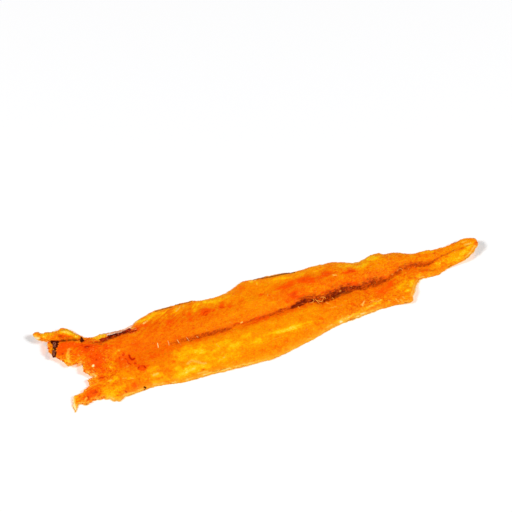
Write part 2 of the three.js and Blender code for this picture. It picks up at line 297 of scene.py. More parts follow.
RED = [   # the same
    (-60.3, 5.3, 3.2, 3, 0.55, 71), (-58.8, 2.1, 2.1, 1.6, 0.5, 81), (-60, 0.2, 1.2, 1.1, 0.45, -19),
    (-58.1, -2.1, 1.5, 1.4, 0.52, -82), (-59.4, -4.8, 1.2, 0.9, 0.75, -3), (-61.7, 8.9, 2.2, 1, 0.62, -19),
    (-60.3, 9.7, 1.7, 0.6, 0.68, -19), (-65.3, 11.7, 3, 1.0, 0.72, -19), (-70.1, 12.2, 1.6, 1.5, 0.85, -19),
    (-71.3, 9.9, 1.5, 1.5, 0.75, -19), (-67.8, 13.2, 2.2, 0.7, 0.6, -19), (-71.0, 17.2, 3.0, 1.0, 0.42, -14), (-65.8, 15.6, 2.4, 0.7, 0.42, -25),
    (-75.6, 18.4, 2.4, 0.8, 0.36, -14), (-66.0, 8.2, 2.6, 1.9, 0.5, -19),
    (-68.7, 17, 1.4, 0.7, 0.62, -34), (-54.1, 6.8, 1.2, 0.8, 0.6, -19), (-48.8, 2, 1.1, 0.8, 0.66, 71),
    (-47.2, 0.3, 0.8, 0.7, 0.7, -19), (-46.2, -1.1, 1, 0.7, 1.05, -3), (-48.3, -1.1, 0.8, 0.7, 0.62, -19),
    (-50.6, -0.2, 1.4, 1, 0.48, 71), (-45.7, -3.2, 0.7, 0.4, 0.8, -58), (-47.3, -2.5, 1, 0.6, 0.5, -19),
    (-51.1, -2.6, 1.3, 0.9, 0.58, -19), (-43.6, -5.2, 1, 0.5, 1.1, -19), (-44.7, -5.7, 0.6, 0.5, 0.85, 71),
    (-42.7, -6.3, 0.7, 0.4, 0.85, 71), (-43.8, -6.7, 0.9, 0.4, 0.75, -19), (-43.7, -6, 0.8, 0.6, 0.6, -19),
    (-40.9, -5.4, 0.8, 0.5, 0.55, 20), (-48.5, -12, 1.4, 1.3, 0.62, 71), (-63.3, -9.8, 1.6, 1.3, 0.62, 31),
    (-65.9, -10.7, 1.7, 1.1, 0.52, 20), (-34.5, -10.2, 1, 0.6, 0.66, -19),
    (-31.3, -7.1, 0.6, 0.5, 0.66, -19), (-32.3, -1.5, 1.3, 1.2, 0.46, -19),
    (-21.8, -13.9, 1, 0.4, 0.72, -4), (-37.6, 11.4, 1, 0.5, 0.72, -19), (-40.4, 11.5, 1.4, 1, 0.62, -4),
    (-42.3, 10.5, 1.4, 0.6, 0.95, -7), (-28.1, 9.8, 1.6, 1.1, 0.62, 13), (-24.6, 10.5, 1.1, 0.9, 0.52, 17),
    (-20.1, 10.2, 1, 0.8, 0.72, 27), (-22.4, 8.4, 1.4, 0.6, 0.46, -1), (-19.9, 8, 0.6, 0.5, 0.62, -19),
    (-14, 9.1, 1.4, 1.1, 0.92, -19), (-12.5, 9.9, 1, 0.5, 0.62, -6), (-12.5, 9, 0.9, 0.6, 0.45, -19),
    (-10.2, 8.9, 0.7, 0.4, 0.8, 6), (-6.7, 10.4, 1.2, 0.8, 0.72, 65), (-6.9, 9.2, 1, 0.5, 0.7, -19),
    (-3.8, 8.7, 1.1, 0.5, 0.64, -4), (2.7, 15.2, 1.1, 0.8, 0.55, 12), (1.6, 9.5, 1.3, 0.8, 0.46, -19),
    (9.6, 9.9, 1.1, 0.5, 0.6, -9), (16.2, 10.1, 1.8, 1, 0.52, -1), (19.5, 10.1, 1.8, 1.1, 0.7, 0),
    (22.2, 10.4, 1.5, 1.4, 0.6, 15), (21.6, 5.9, 1.1, 0.7, 0.95, 9), (21, 5, 1.1, 0.5, 0.75, -19),
    (18, 3.5, 1, 0.7, 0.55, -19), (22.8, 3.9, 1.4, 0.6, 0.6, -6), (27, 10.7, 1.6, 0.9, 0.98, -6),
    (29.4, 9.8, 1.4, 1.1, 0.72, -3), (30.1, 8.5, 1.2, 0.8, 0.6, -5), (25.5, 10.4, 1.3, 0.8, 0.55, -19),
    (34.1, 9.7, 1.3, 0.7, 0.5, -3), (36.7, 10.3, 1.7, 0.9, 0.9, -3), (25.9, 4.2, 1.8, 0.6, 0.45, -2),
    (43.4, 8.3, 1.4, 0.7, 0.46, -6), (46.1, 8.5, 1.4, 0.6, 0.92, -2), (46.7, 8, 0.8, 0.4, 0.85, -6),
    (44.6, 8.1, 0.7, 0.4, 0.66, -6), (43.9, 3.2, 1.8, 0.6, 0.74, -9), (45.7, 1.8, 1.2, 0.6, 0.5, -19),
    (36.5, 2.4, 1.4, 0.6, 0.5, -2), (32.7, 2.7, 1.4, 0.6, 0.5, 1), (53.8, -4.6, 2.6, 1.3, 0.5, -4),
    (57.6, -3, 1.6, 1.1, 0.5, 13), (59.3, -2, 1.2, 0.8, 0.6, 13), (60.6, -0.7, 1.1, 0.5, 0.55, 11),
    (41.6, -5.6, 1.1, 0.6, 0.44, -19), (27.6, -7.7, 1.4, 0.4, 0.55, -7), (73.7, -0.8, 2.1, 0.5, 0.55, -12),
    (97.5, 4.1, 1.6, 0.6, 0.72, 55), (4, -0.4, 2, 0.9, 0.5, -2), (7.8, -0.5, 1.8, 0.7, 0.6, -2),
]
PALE = [   # line, width at its two ends, strength
    ([(-79, 20.4), (-78.5, 19.7)], 0.34, 0.25, 0.6), ([(-79.0, 19.6), (-77.4, 19.0)], 1.1, 0.7, 1.05),
    ([(-37.8, 12.2), (-36, 12.9)], 0.32, 0.23, 1), ([(-40.7, 13.5), (-39.9, 13.8)], 0.34, 0.25, 0.8),
    ([(-24.1, 13.3), (-22.2, 14.8)], 0.3, 0.21, 0.85),
    ([(7.2, 16.5), (7.8, 16.8)], 0.38, 0.3, 0.6),
    ([(8.8, 16.3), (9.5, 16.5)], 0.25, 0.21, 0.6),
    ([(-26.7, -9.7), (-25.7, -9.1), (-24.6, -9), (-21.2, -11.5), (-20.1, -11.6)], 0.55, 0.45, 0.6),
    ([(-13.1, -11.7), (-12.7, -11.6)], 0.25, None, 0.85),
    ([(-40.3, -10.1), (-38.7, -10)], 0.55, 0.42, 0.72),
    ([(-41.7, -13.9), (-40.7, -14.1)], 0.51, 0.42, 0.62), ([(-48.9, -3.2), (-48.1, -3.2)], 0.5, 0.4, 0.30), ([(-50.1, 0.0), (-49.7, 0.3)], 0.45, 0.4, 0.26),
    ([(-56.7, -7.1), (-55.9, -6.9)], 0.4, 0.3, 0.55), ([(-51.8, -7.7), (-50.5, -8.0)], 0.28, 0.24, 0.42),
    ([(-48.9, -8.6), (-48.2, -9.0)], 0.3, 0.26, 0.5), ([(-67.6, 10.9), (-68.4, 9.6), (-69.0, 7.6), (-69.2, 5.4)], 0.6, 0.7, 0.40),
    ([(-64.8, 4.6), (-64.4, 4.0)], 0.4, 0.3, 0.45), ([(-65.0, 7.2), (-64.6, 7.0)], 0.4, 0.3, 0.4),
    ([(-67.7, -11.7), (-67, -11.1)], 0.42, 0.34, 0.62), ([(-61, 0.9), (-60.8, 1.1)], 0.44, None, 1.5),
    ([(-63.3, -2.5), (-61.8, -3.5)], 0.42, 0.34, 0.75), ([(-64.7, -5.4), (-64, -5.3)], 0.34, 0.25, 0.6),
    ([(-71.9, -9.2), (-72.4, -11.5), (-72.3, -14.4)], 0.75, 0.80, 1.05),
    ([(-2.1, 0.4), (-1.4, 0.6)], 0.30, 0.25, 0.9),
    ([(38.6, 1.1), (39.3, 1.3)], 0.3, 0.26, 0.4),
    ([(38.8, 8.9), (40.1, 8.3)], 0.38, 0.34, 0.62),
    ([(46.4, -5.9), (45, -7.5)], 0.23, 0.38, 0.85), ([(44.7, -7.1), (45.1, -7.5)], 0.3, None, 0.6),
    ([(46.4, -8.9), (48.8, -8.7)], 0.36, 0.30, 0.45), ([(35.4, -10.6), (40.8, -10.1)], 0.34, 0.3, 0.5),
    ([(37.8, -10.7), (38.7, -10.6)], 0.34, 0.25, 0.9), ([(28.8, -12.2), (31, -11.5)], 0.3, 0.25, 0.7),
    ([(42.1, -11.6), (44.4, -11.3), (45.9, -11.0)], 0.34, 0.3, 0.7), ([(60.9, 1.6), (61.3, 1.7)], 0.34, None, 0.35),
    ([(59.9, -9.8), (60.2, -10.7), (60.6, -11.3)], 0.26, 0.22, 0.7), ([(58.3, -9.1), (58.8, -10.2), (59.0, -10.8)], 0.26, 0.22, 0.7),
    ([(61.2, -8.9), (61.6, -9.7)], 0.26, 0.22, 0.6), ([(55.4, -8.6), (56.3, -9.3)], 0.24, 0.2, 0.5),
    ([(93, 5), (95.4, 5)], 0.38, 0.3, 0.78), ([(92.3, 6.3), (94.5, 6.6)], 0.26, 0.22, 0.55),
    ([(91.2, -0.2), (93.2, 0.8), (95.0, 2.3), (96.4, 3.6)], 0.34, 0.30, 0.6), ([(34.5, -10.9), (37.9, -11.3)], 0.3, 0.26, 0.6),
    ([(48.9, -6.6), (50.6, -7.6)], 0.3, 0.25, 0.42), ([(50.9, -7.9), (51.8, -7.8), (52.8, -7.4)], 0.3, 0.25, 0.42),
    ([(-52.5, 11.6), (-51.6, 11.5), (-50.9, 11.3)], 0.34, 0.3, 0.9), ([(-42.6, 9.5), (-42.1, 9.7)], 0.34, 0.3, 0.3),
    ([(-40.8, 13.5), (-40.3, 13.5)], 0.34, 0.3, 0.8), ([(-50.0, 4.1), (-49.8, 4.3)], 0.4, 0.4, 0.4), ([(-55.5, -1.5), (-54.4, -3.2)], 0.4, 0.4, 0.2), ([(34.3, 14.4), (37.0, 14.2)], 0.24, 0.2, 0.3),
    ([(48.1, 11.2), (50.4, 10.9), (53.0, 11.5)], 0.26, 0.22, 0.45), ([(45.5, 12.2), (47.6, 11.6)], 0.24, 0.2, 0.4),
    ([(-49.4, 11.4), (-45, 11.5)], 0.28, 0.25, 0.9), ([(-43.6, 11.4), (-41.6, 11.3)], 0.42, 0.42, 0.6),
    ([(-24.3, -14.9), (-20.6, -15.2)], 0.42, 0.38, 0.62), ([(20.4, -14.6), (21.4, -14.6)], 0.3, 0.25, 0.6),
]
DARK = [   # the same
    ([(-73.6, 16.2), (-70.9, 15.3)], 0.40, 0.40, 1), ([(-72.0, 14.6), (-73.2, 12.8)], 0.80, 0.60, 0.8),
    # painted shade: the entries on the next four lines darken the crevice under the rolled flap and the foot of the
    # flap above it
    ([(-73.2, 12.8), (-74.1, 10.1)], 0.50, 0.60, 0.8), ([(-70.8, 15.5), (-68.0, 14.8), (-62.8, 13.3)], 0.62, 0.45, 0.52),
    ([(-70.8, 15.4), (-66.0, 14.2), (-63.4, 13.3)], 0.30, 0.18, 0.62),
    ([(-69.8, 17.0), (-68.5, 16.1), (-66.0, 15.2), (-63.8, 14.0)], 0.9, 0.5, 0.30),
    ([(-69.4, 15.4), (-68.5, 15.2)], 0.42, 0.34, 0.72), ([(-66.3, 14.3), (-65.2, 14)], 0.38, 0.34, 0.6),
    ([(-62.1, 14.0), (-62.2, 12.4)], 0.2, 0.5, 0.8),
    ([(-58.6, 10.4), (-56.9, 10.1), (-54.6, 9.6), (-53, 9.7)], 0.30, 0.55, 0.52), ([(-57.6, 9.6), (-55.4, 8.8)], 0.3, 0.3, 0.36),
    ([(-52.9, 10.2), (-43.9, 10.4)], 0.60, 0.50, 0.55), ([(-43.3, 10.4), (-41.1, 10.2)], 0.36, 0.25, 0.50),
    ([(-45.3, -13.6), (-44.8, -14.1), (-45.6, -15.1)], 0.25, 0.21, 1),
    ([(-22, -13.9), (-21.3, -14)], 0.34, 0.21, 0.35), ([(84.9, 3.2), (85.2, 3.2)], 0.25, None, 0.45),
    ([(62.1, 1.9), (63.3, 1.9)], 0.38, 0.3, 0.45), ([(11.9, -0.7), (15.7, -0.3)], 0.25, 0.21, 0.45),
    ([(83.1, -2.5), (85.2, -1.9)], 0.25, 0.21, 0.55),
]
EDGE_DASH = [   # brown dashes where the skin shows at the edge
    ([(-68.7, 19.4), (-66.6, 19.1), (-63, 14.8)], 0.21, 0.17, 0.5),
    ([(-32, 15.7), (-30.3, 15.7)], 0.25, 0.21, 0.8), ([(-29.8, 15.7), (-28.1, 15.8)], 0.25, 0.21, 0.9),
    ([(-27.8, 15.8), (-25.3, 15.5)], 0.3, 0.25, 0.9), ([(-23.9, 16.1), (-22, 15.6)], 0.3, 0.25, 0.95),
    ([(-21.6, 15.6), (-19.8, 15.4)], 0.21, 0.21, 0.8), ([(-19.4, 15.5), (-17.5, 15.4)], 0.25, 0.21, 0.85),
    ([(8.4, 16.9), (11.2, 16.5)], 0.21, 0.21, 0.9), ([(11.6, 16.45), (14.6, 16.0)], 0.25, 0.23, 1.15),
    ([(15.0, 15.95), (19.8, 15.55)], 0.25, 0.25, 1.25), ([(20.2, 15.5), (22.6, 15.15), (25.0, 14.7)], 0.25, 0.21, 1.25),
    ([(36.4, -0.7), (39.9, -0.2), (42.1, -0.6)], 0.7, 0.5, 0.5), ([(89, 7.1), (90.8, 7.2)], 0.21, 0.21, 0.8),
    ([(91.6, 7.6), (92.3, 7.8)], 0.21, 0.17, 0.8), ([(97.3, 6.8), (98, 6.5)], 0.21, 0.21, 0.75),
    ([(98.1, 4.7), (97.4, 3.5), (92.2, -0.3), (88.4, -1.5)], 0.20, 0.20, 0.5),
    ([(61.1, -11.8), (62.7, -12.5)], 0.3, 0.25, 0.9), ([(36.2, -12.1), (42.6, -12)], 0.21, 0.19, 0.75),
    ([(43.5, -12.1), (44.3, -12.1)], 0.3, 0.25, 0.8), ([(-19.1, -16.1), (-13.6, -16.3)], 0.19, 0.17, 0.75),
    ([(-50.4, 11.5), (-46, 11.9), (-44.4, 11.7)], 0.21, 0.19, 0.8),
    ([(-42.2, 13.7), (-41.7, 13.7)], 0.25, None, 0.8),
]
VEINS = [   # fine blood lines, curls and spots: line, width at its two ends, strength
    ([(-48.7, 0.0), (-48.1, -1.0), (-48.1, -1.9), (-47.4, -3.0)], 0.26, 0.26, 0.85), ([(-48.7, 2.3), (-48.4, 1.4), (-48.2, 0.7)], 0.3, 0.26, 0.6),
    ([(-47.0, 0.9), (-46.8, -0.3), (-46.5, -1.2), (-45.7, -1.4), (-45.3, -1.1)], 0.36, 0.46, 1.15),
    ([(-46.4, -1.3), (-45.9, -1.4)], 0.5, 0.5, 0.8), ([(-49.2, 1.8), (-49.0, 1.5)], 0.42, 0.4, 0.9),
    ([(-50.6, 1.3), (-50.8, 0.5)], 0.42, 0.34, 0.75), ([(-51.0, -0.4), (-51.1, -1.6), (-50.3, -2.6)], 0.3, 0.26, 0.4),
    ([(-45.9, -2.9), (-45.3, -3.2)], 0.34, 0.34, 0.95), ([(-42.1, 1.1), (-41.5, 0.9)], 0.26, 0.26, 0.45), ([(-41.7, -5.5), (-41.3, -5.8)], 0.3, 0.26, 0.6),
    ([(-45.0, -5.3), (-44.2, -4.8), (-43.4, -4.8), (-42.7, -5.3), (-42.5, -6.1)], 0.34, 0.38, 0.95),
    ([(-43.8, -4.8), (-43.3, -4.8)], 0.38, 0.38, 0.6), ([(-42.6, -5.5), (-42.5, -6.1)], 0.36, 0.36, 0.5),
    ([(-45.0, -5.3), (-45.0, -6.0), (-44.1, -6.5), (-43.2, -6.8)], 0.24, 0.24, 0.5), ([(-43.3, -6.8), (-42.9, -6.7)], 0.3, 0.3, 0.5),
    ([(-41.2, -5.6), (-40.5, -5.0), (-39.8, -5.5), (-40.6, -6.4)], 0.22, 0.2, 0.35),
    ([(-62.0, 9.7), (-61.0, 10.0), (-60.1, 9.4)], 0.34, 0.40, 0.85), ([(-62.2, 8.4), (-61.2, 7.8), (-60.1, 8.2)], 0.3, 0.26, 0.5),
    ([(-64.6, 10.9), (-62.9, 10.7), (-61.2, 10.9)], 0.22, 0.22, 0.6), ([(-66.0, 12.4), (-63.8, 11.9), (-61.6, 11.7)], 0.22, 0.2, 0.45),
    ([(-60.4, 10.6), (-58.8, 9.5), (-57.4, 9.2)], 0.22, 0.2, 0.5), ([(-59.4, 8.2), (-58.0, 7.4), (-56.6, 7.0)], 0.2, 0.2, 0.4),
    ([(-61.5, 11.8), (-59.2, 10.9), (-57.2, 10.6)], 0.24, 0.3, 0.55), ([(-70.6, 9.6), (-70.3, 9.6)], 0.42, 0.4, 1.0),
    ([(-62.7, 11.3), (-61.5, 10.6)], 0.24, 0.2, 0.5), ([(-61.8, 9.8), (-60.9, 9.4), (-60.0, 9.4)], 0.34, 0.38, 1.0),
    ([(-62.0, 8.0), (-61.5, 7.3)], 0.34, 0.3, 0.6), ([(-61.1, 8.9), (-60.6, 8.5)], 0.3, 0.26, 0.55), ([(-62.8, 10.6), (-62.4, 10.0)], 0.26, 0.24, 0.6),
    ([(-53.9, 7.2), (-53.4, 7.6)], 0.34, 0.3, 0.55), ([(-54.6, 6.5), (-53.8, 6.3)], 0.34, 0.3, 0.6), ([(-60.6, 5.6), (-60.6, 4.8)], 0.3, 0.26, 0.5),
    ([(-58.7, -0.5), (-58.5, -1.4), (-57.8, -0.8)], 0.34, 0.3, 0.5), ([(-60.3, -4.8), (-59.6, -4.6), (-58.6, -5.2), (-58.1, -4.8)], 0.42, 0.4, 0.7),
    ([(-63.0, -1.4), (-62.7, -2.0), (-62.3, -1.1), (-62.4, -0.5)], 0.34, 0.3, 0.85), ([(-64.6, -0.3), (-64.3, -0.9)], 0.3, 0.26, 0.5),
    ([(-62.9, -9.3), (-62.8, -10.3)], 0.5, 0.4, 0.7), ([(-63.5, -9.9), (-64.4, -10.3)], 0.4, 0.34, 0.6),
    ([(-66.3, -10.7), (-66.3, -11.6), (-66.9, -12.2)], 0.3, 0.3, 0.8), ([(-52.5, -13.2), (-52.2, -13.6)], 0.42, 0.4, 0.9),
    ([(-69.0, 17.4), (-69.7, 17.4)], 0.3, 0.26, 0.6), ([(-68.3, 18.2), (-68.0, 18.2)], 0.26, 0.24, 0.5),
    ([(-61.2, -0.6), (-60.6, -1.4), (-60.9, -2.4)], 0.24, 0.22, 0.45), ([(-62.6, -1.5), (-62.2, -2.2)], 0.3, 0.3, 0.55),
    ([(-14.7, 8.5), (-13.8, 9.3), (-12.6, 9.3)], 0.30, 0.26, 0.7), ([(-14.6, 8.0), (-13.6, 8.0), (-13.0, 8.6)], 0.26, 0.24, 0.6),
    ([(-11.0, 8.6), (-10.0, 9.0)], 0.26, 0.24, 0.55), ([(-7.7, 9.4), (-6.4, 9.4), (-6.2, 9.0)], 0.28, 0.24, 0.55),
    ([(-4.0, 9.2), (-3.4, 9.3)], 0.30, 0.26, 0.6), ([(-7.4, 11.4), (-6.4, 11.3)], 0.24, 0.22, 0.4),
    ([(-22.6, 10.3), (-21.2, 10.5)], 0.24, 0.22, 0.4), ([(-41.9, 10.6), (-40.4, 11.0), (-38.8, 11.2)], 0.24, 0.24, 0.55),
    ([(-43.6, 10.0), (-42.5, 10.0), (-41.0, 10.3)], 0.42, 0.34, 1.0), ([(-33.9, -12.6), (-33.2, -12.4)], 0.22, 0.2, 0.4),
    ([(-5.4, 0.5), (-3.5, 0.7), (-1.4, -0.1), (0.5, -0.1), (4.0, 0.5), (6.2, 0.2)], 0.26, 0.34, 0.62),
    ([(-1.3, -1.2), (0.8, -1.3), (3.4, -1.2), (5.5, -0.8)], 0.22, 0.26, 0.5),
    ([(6.5, 0.2), (9.8, 0.1), (13.1, 0.4), (16.5, 0.5)], 0.26, 0.3, 0.4),
    ([(35.0, 10.4), (36.6, 10.3), (38.2, 10.0)], 0.26, 0.22, 0.5), ([(26.4, 10.2), (27.6, 10.6)], 0.26, 0.22, 0.45),
    ([(45.4, 8.6), (46.8, 8.4)], 0.26, 0.24, 0.6), ([(19.7, 5.6), (21.4, 6.2)], 0.3, 0.26, 0.45), ([(20.4, 4.4), (22.8, 4.6)], 0.3, 0.3, 0.45),
]
BROAD_RED = [    # large redder zones: head end, loin, behind the fin, edge of the belly
    (-58, 5.5, 8, 6.5, 0.9, 0), (-65, -10, 4, 2.5, 0.8, 0), (-44, 7, 12, 6, 0.9, 0), (-26, 8.5, 14, 3.5, 0.7, 0),
    (-36, -1.5, 10, 2.5, 1.0, 0), (-47, -3.5, 6, 3.5, 0.45, 0), (-50, -13, 7, 3, 0.4, 0), (-8, 9, 8, 2.5, 0.45, 0),
    (22, 7, 10, 3.5, 0.8, 0), (38, 8, 12, 3, 0.7, 0), (12, -1.5, 9, 1.8, 0.8, 0), (56, -3, 8, 3.5, 0.55, 10),
    (48, 4, 9, 2.5, 0.5, 0), (22, -9.5, 14, 2, 0.3, 0), (8, -13, 14, 2, 0.5, 0), (72, 1, 9, 2.4, 0.6, 0),
    (-20, -1.5, 8, 1.5, 0.5, 0), (-33, -7, 3, 5, 0.6, 0), (22, 4.4, 5, 2.2, 0.7, 5), (80, 0.8, 7, 1.6, 0.6, 12), (83, -1.6, 7, 1.4, 0.6, 14),
]
BROAD_GOLD = [   # large lighter zones: belly, back edge, tail
    (-24, -12, 9, 3.5, 0.7, 0), (-10, -9, 8, 4, 0.5, 0), (14, -8, 8, 2.0, 0.45, 0), (-40, -11, 6, 2.5, 0.8, 0),
    (-57, -12, 6, 2.8, 0.8, 0), (84, 2.5, 9, 4, 1.0, 10), (95, 4, 4.5, 4, 0.9, 10), (64, -6, 5, 3.5, 0.8, 0),
    (20, 14, 12, 2, 0.6, 0), (51, 11, 9, 3, 1.1, 0), (39, -10.8, 9, 1.6, 0.8, 0), (-12, 12.5, 9, 2.5, 1.25, 0),
    (2, 6, 9, 3.5, 0.6, 0), (-71, 18.3, 7, 1.5, 1.4, -12), (-72, -13, 1.6, 3, 1.5, 0), (-34, 13.6, 7, 1.5, 0.5, 6),
    (-62, -4, 4, 2, 0.4, 30), (-76, 18.6, 4, 1.6, 0.8, 0), (-55, 12.6, 4, 1, 0.8, 0), (-50, -8, 4, 2.5, 0.7, 0),
    (93, 3, 6, 3.5, 0.8, 12), (86, 0, 7, 1.6, 0.5, 8), (42, -10.5, 9, 1.4, 0.6, 0), (-72.4, -12.5, 1.4, 2.6, 1.2, 0),
    (-66, -2.6, 3, 1.4, 0.6, 0), (-50, -6, 4, 3, 0.8, 0), (-57, -0.5, 4, 2, 0.4, 0),
]

def reach_of(pts, w):
    xs, ys = [p[0] for p in pts], [p[1] for p in pts]
    return min(xs) - w, max(xs) + w, min(ys) - w, max(ys) + w


def pool(u, v, marks, share=0.6, grow=1.0):
    """Soft ovals that add up and level off."""
    out = np.zeros_like(u)
    for cx, cy, sx, sy, a, turn in marks:
        sx, sy = sx * grow, sy * grow
        r = 2.6 * max(sx, sy)
        k = np.where((np.abs(u - cx) < r) & (np.abs(v - cy) < r))[0]
        if len(k):
            out[k] += a * hill(u[k], v[k], cx, cy, sx, sy, turn) * (1 - share * np.minimum(out[k], 1.3))
    return out


def lines(u, v, marks, power=2.0):
    """Soft lines: the strongest one at each point."""
    out = np.zeros_like(u)
    for pts, w, w1, a in marks:
        if len(pts) < 2:
            pts = [pts[0], (pts[0][0] + 0.01, pts[0][1])]
        x0, x1, y0, y1 = reach_of(pts, 2.5 * max(w, w1 or w))
        k = np.where((u > x0) & (u < x1) & (v > y0) & (v < y1))[0]
        if len(k):
            d, t = to_line(u[k], v[k], pts)
            width = w if w1 is None else w + (w1 - w) * t
            out[k] = np.maximum(out[k], a * np.exp(-(d / width) ** power))
    return out


def as_seen(x, y, z):
    """Where a point appears on a plane 1.5 mm up, from the usual side."""
    return x + 0.185 * (z - 1.5), y + 0.547 * (z - 1.5)


# ---------------------------------------------------------------- form
midline = through([[-80, 1], [-30, 0.4], [-8, -0.3], [20, 0.6], [45, 0.2],
                   [60, 1.6], [70, 2.7], [80, 2.4], [97, 4]])
SHEET, LOIN, BELLY, GROOVE, EDGE, EDGE_RUN = 1.55, 1.15, 0.55, 0.55, 0.5, 3.2


def lift(x, y):
    run = np.clip((-54 - x) / 25, 0, 2) ** 1.5
    z = 3.5 * run * smooth(-4, 10, y)
    z = z + 2.1 * hill(x, y, -65.5, 0, 6, 5) + 1.0 * hill(x, y, -69, -8, 5, 4)
    z = z + 3.75 * np.clip((x - 80) / 17, 0, 2) ** 1.5
    z = z + 1.9 * hill(x, y, 65.5, -9, 5, 5)
    m = midline(x)
    wave = 0.5 + 0.5 * np.sin(x * 0.113 + np.where(y > m, 0.6, 2.4))
    z = z + 0.35 * wave * smooth(8.5, 15.5, np.abs(y - m)) * smooth(64, 50, np.abs(x + 2))
    return np.where(z < 0.02, 0.0, z)


def body_of_flesh(x, y, d):
    """Thickness of the flesh, smooth part."""
    m = midline(x)
    body = smooth(-74, -52, x) * smooth(94, 48, x)
    t = 1.0 + (SHEET - 1.0) * body
    t = t + LOIN * body * np.exp(-((y - m - 6.6) / 4.6) ** 2)
    t = t + BELLY * body * np.exp(-((y - m + 6.2) / 4.4) ** 2)
    t = t - GROOVE * body * np.exp(-((y - m) / 1.5) ** 2)
    t = t + 0.12 * np.sin(x * 0.42 + 0.30 * y) * np.sin(0.55 * y + 1.3)
    t = t + 0.7 * hill(x, y, -67.5, 18.2, 2.6, 1.4)
    edge = EDGE * (0.62 + 0.5 * N3.fbm(x * 0.5, y * 0.5, 2))
    return edge + (np.maximum(t, EDGE + 0.1) - edge) * (1 - np.exp(-d / EDGE_RUN * 2.0))


def seams(x, y):
    """Position across the muscle blocks: the seams lean back from the mid-line on both sides."""
    m = midline(x)
    v = y - m
    a = np.abs(v)
    lean = np.where(v > 0, 1.35, 0.62)
    return (x - lean * a + 1.2 * np.sin(a * 0.5) + 1.6 * (N1.fbm(x * 0.12, y * 0.2, 2) - 0.5)) / 3.3


stripe_y = through([[-31, 0.5], [-20, 0.1], [-9, -0.4], [-5, 0.1], [3, -0.1], [10, 0.1],
                    [15, 0.5], [18, 0.5], [20, 0.7], [22.5, 1.15], [26.8, 1.25], [29.5, 0.6], [32.5, 0.2],
                    [36, 0.6], [40, 0.85], [43.5, 0.8], [47, 0.45], [50, 0.15], [53, 0.25], [56, 0.25],
                    [58.5, 0.1], [60, 0.7], [62, 1.5], [64.5, 2.4], [66.5, 3.1], [69.5, 2.85], [73, 2.1],
                    [76.3, 1.4], [80.6, 2.6], [84.7, 3.4], [88.7, 3.95], [93.6, 4.2], [98, 4.6]])
stripe_w = through([[-31, 0.8], [-26, 1.1], [-20, 1.15], [-12, 1.1], [-8, 0.95], [-4, 0.7], [4, 0.7],
                    [10, 0.75], [16, 0.75], [18, 0.8], [20, 0.9], [22.5, 1.15], [26.8, 1.15], [29.5, 1.9], [32.5, 1.85],
                    [36, 1.8], [40, 1.75], [43.5, 1.5], [47, 1.25], [50, 1.45], [53, 1.6], [56, 1.35], [58.5, 0.95],
                    [60, 0.8], [62, 0.95], [64.5, 1.15], [66.5, 1.1], [69.5, 1.1], [73, 1.1], [76.3, 0.8], [80, 0.4],
                    [98, 0.25]])
stripe_a = through([[-35, 0.14], [-30, 0.34], [-26, 0.50], [-20, 0.58], [-12, 0.60], [-8.5, 0.58],
                    [-6, 0.36], [-2, 0.34], [6, 0.42], [10, 0.52], [14, 0.58], [17.5, 0.58], [19.5, 1.0], [24, 1.10],
                    [26.8, 0.95], [28.5, 0.80], [31, 0.78], [33, 0.84], [35, 0.86], [42, 0.88], [45, 0.82], [52, 0.72],
                    [56, 0.72], [58.5, 0.52], [62, 0.52], [68, 0.50], [74, 0.62], [78, 0.44], [84, 0.42], [98, 0.30]])


def stripe(x, y):
    """Red muscle along the mid-line: strength, and its reddish halo."""
    w = stripe_w(x)
    q = y - stripe_y(x) + 0.75 * w * (N2.fbm(x * 0.40, y * 0.35, 3) - 0.5)
    # its fibres run along it and leave a crumbly, brushed edge
    c, s = math.cos(math.radians(4)), math.sin(math.radians(4))
    brush = N5.fbm((x * c + y * s) * 0.60, (-x * s + y * c) * 2.0, 3, 0.6) - 0.5
    clump = N4.fbm(x * 1.2, y * 1.5, 3, 0.6) - 0.5
    brush, clump = (v * (0.50 + 0.50 * smooth(4, 20, x)) for v in (brush, clump))
    q = q / (w * (1 + 0.12 * smooth(27, 30, x)) * np.where(q > 0, 1 + 0.22 * smooth(15, 20, x), 1))
    a = stripe_a(x)
    core = a * np.exp(-np.abs(q) ** np.where(q > 0, 2.0, 4.0)) * (1 + 0.85 * brush + 0.85 * clump)
    core = core + 0.85 * a * (brush + 0.8 * clump) * np.exp(-((np.abs(q) - 1.0) / 0.5) ** 2)
    # darkest along its crest, and paler above its head end
    core = core + 0.22 * lines(x, y, [([(34.6, 0.3), (39.0, 0.3), (42.7, 1.0), (45.3, 0.9)], 1.1, 0.8, 1.0)])
    core = np.maximum(core, 0.58 * (1 + 1.4 * brush + 0.8 * clump) * hill(x, y, 25.4, 2.8, 3.9, 1.1))
    # a second, fainter streak below it behind the notch of the tail
    core = np.maximum(core, (0.9 + 1.2 * brush) * lines(x, y, [([(72.1, -0.1), (74.4, -0.9), (76.6, -1.8), (77.9, -1.8)], 0.8, 0.6, 0.40)]))
    halo = a * np.exp(-(q / 1.9) ** 2)
    return np.maximum(core, 0), halo


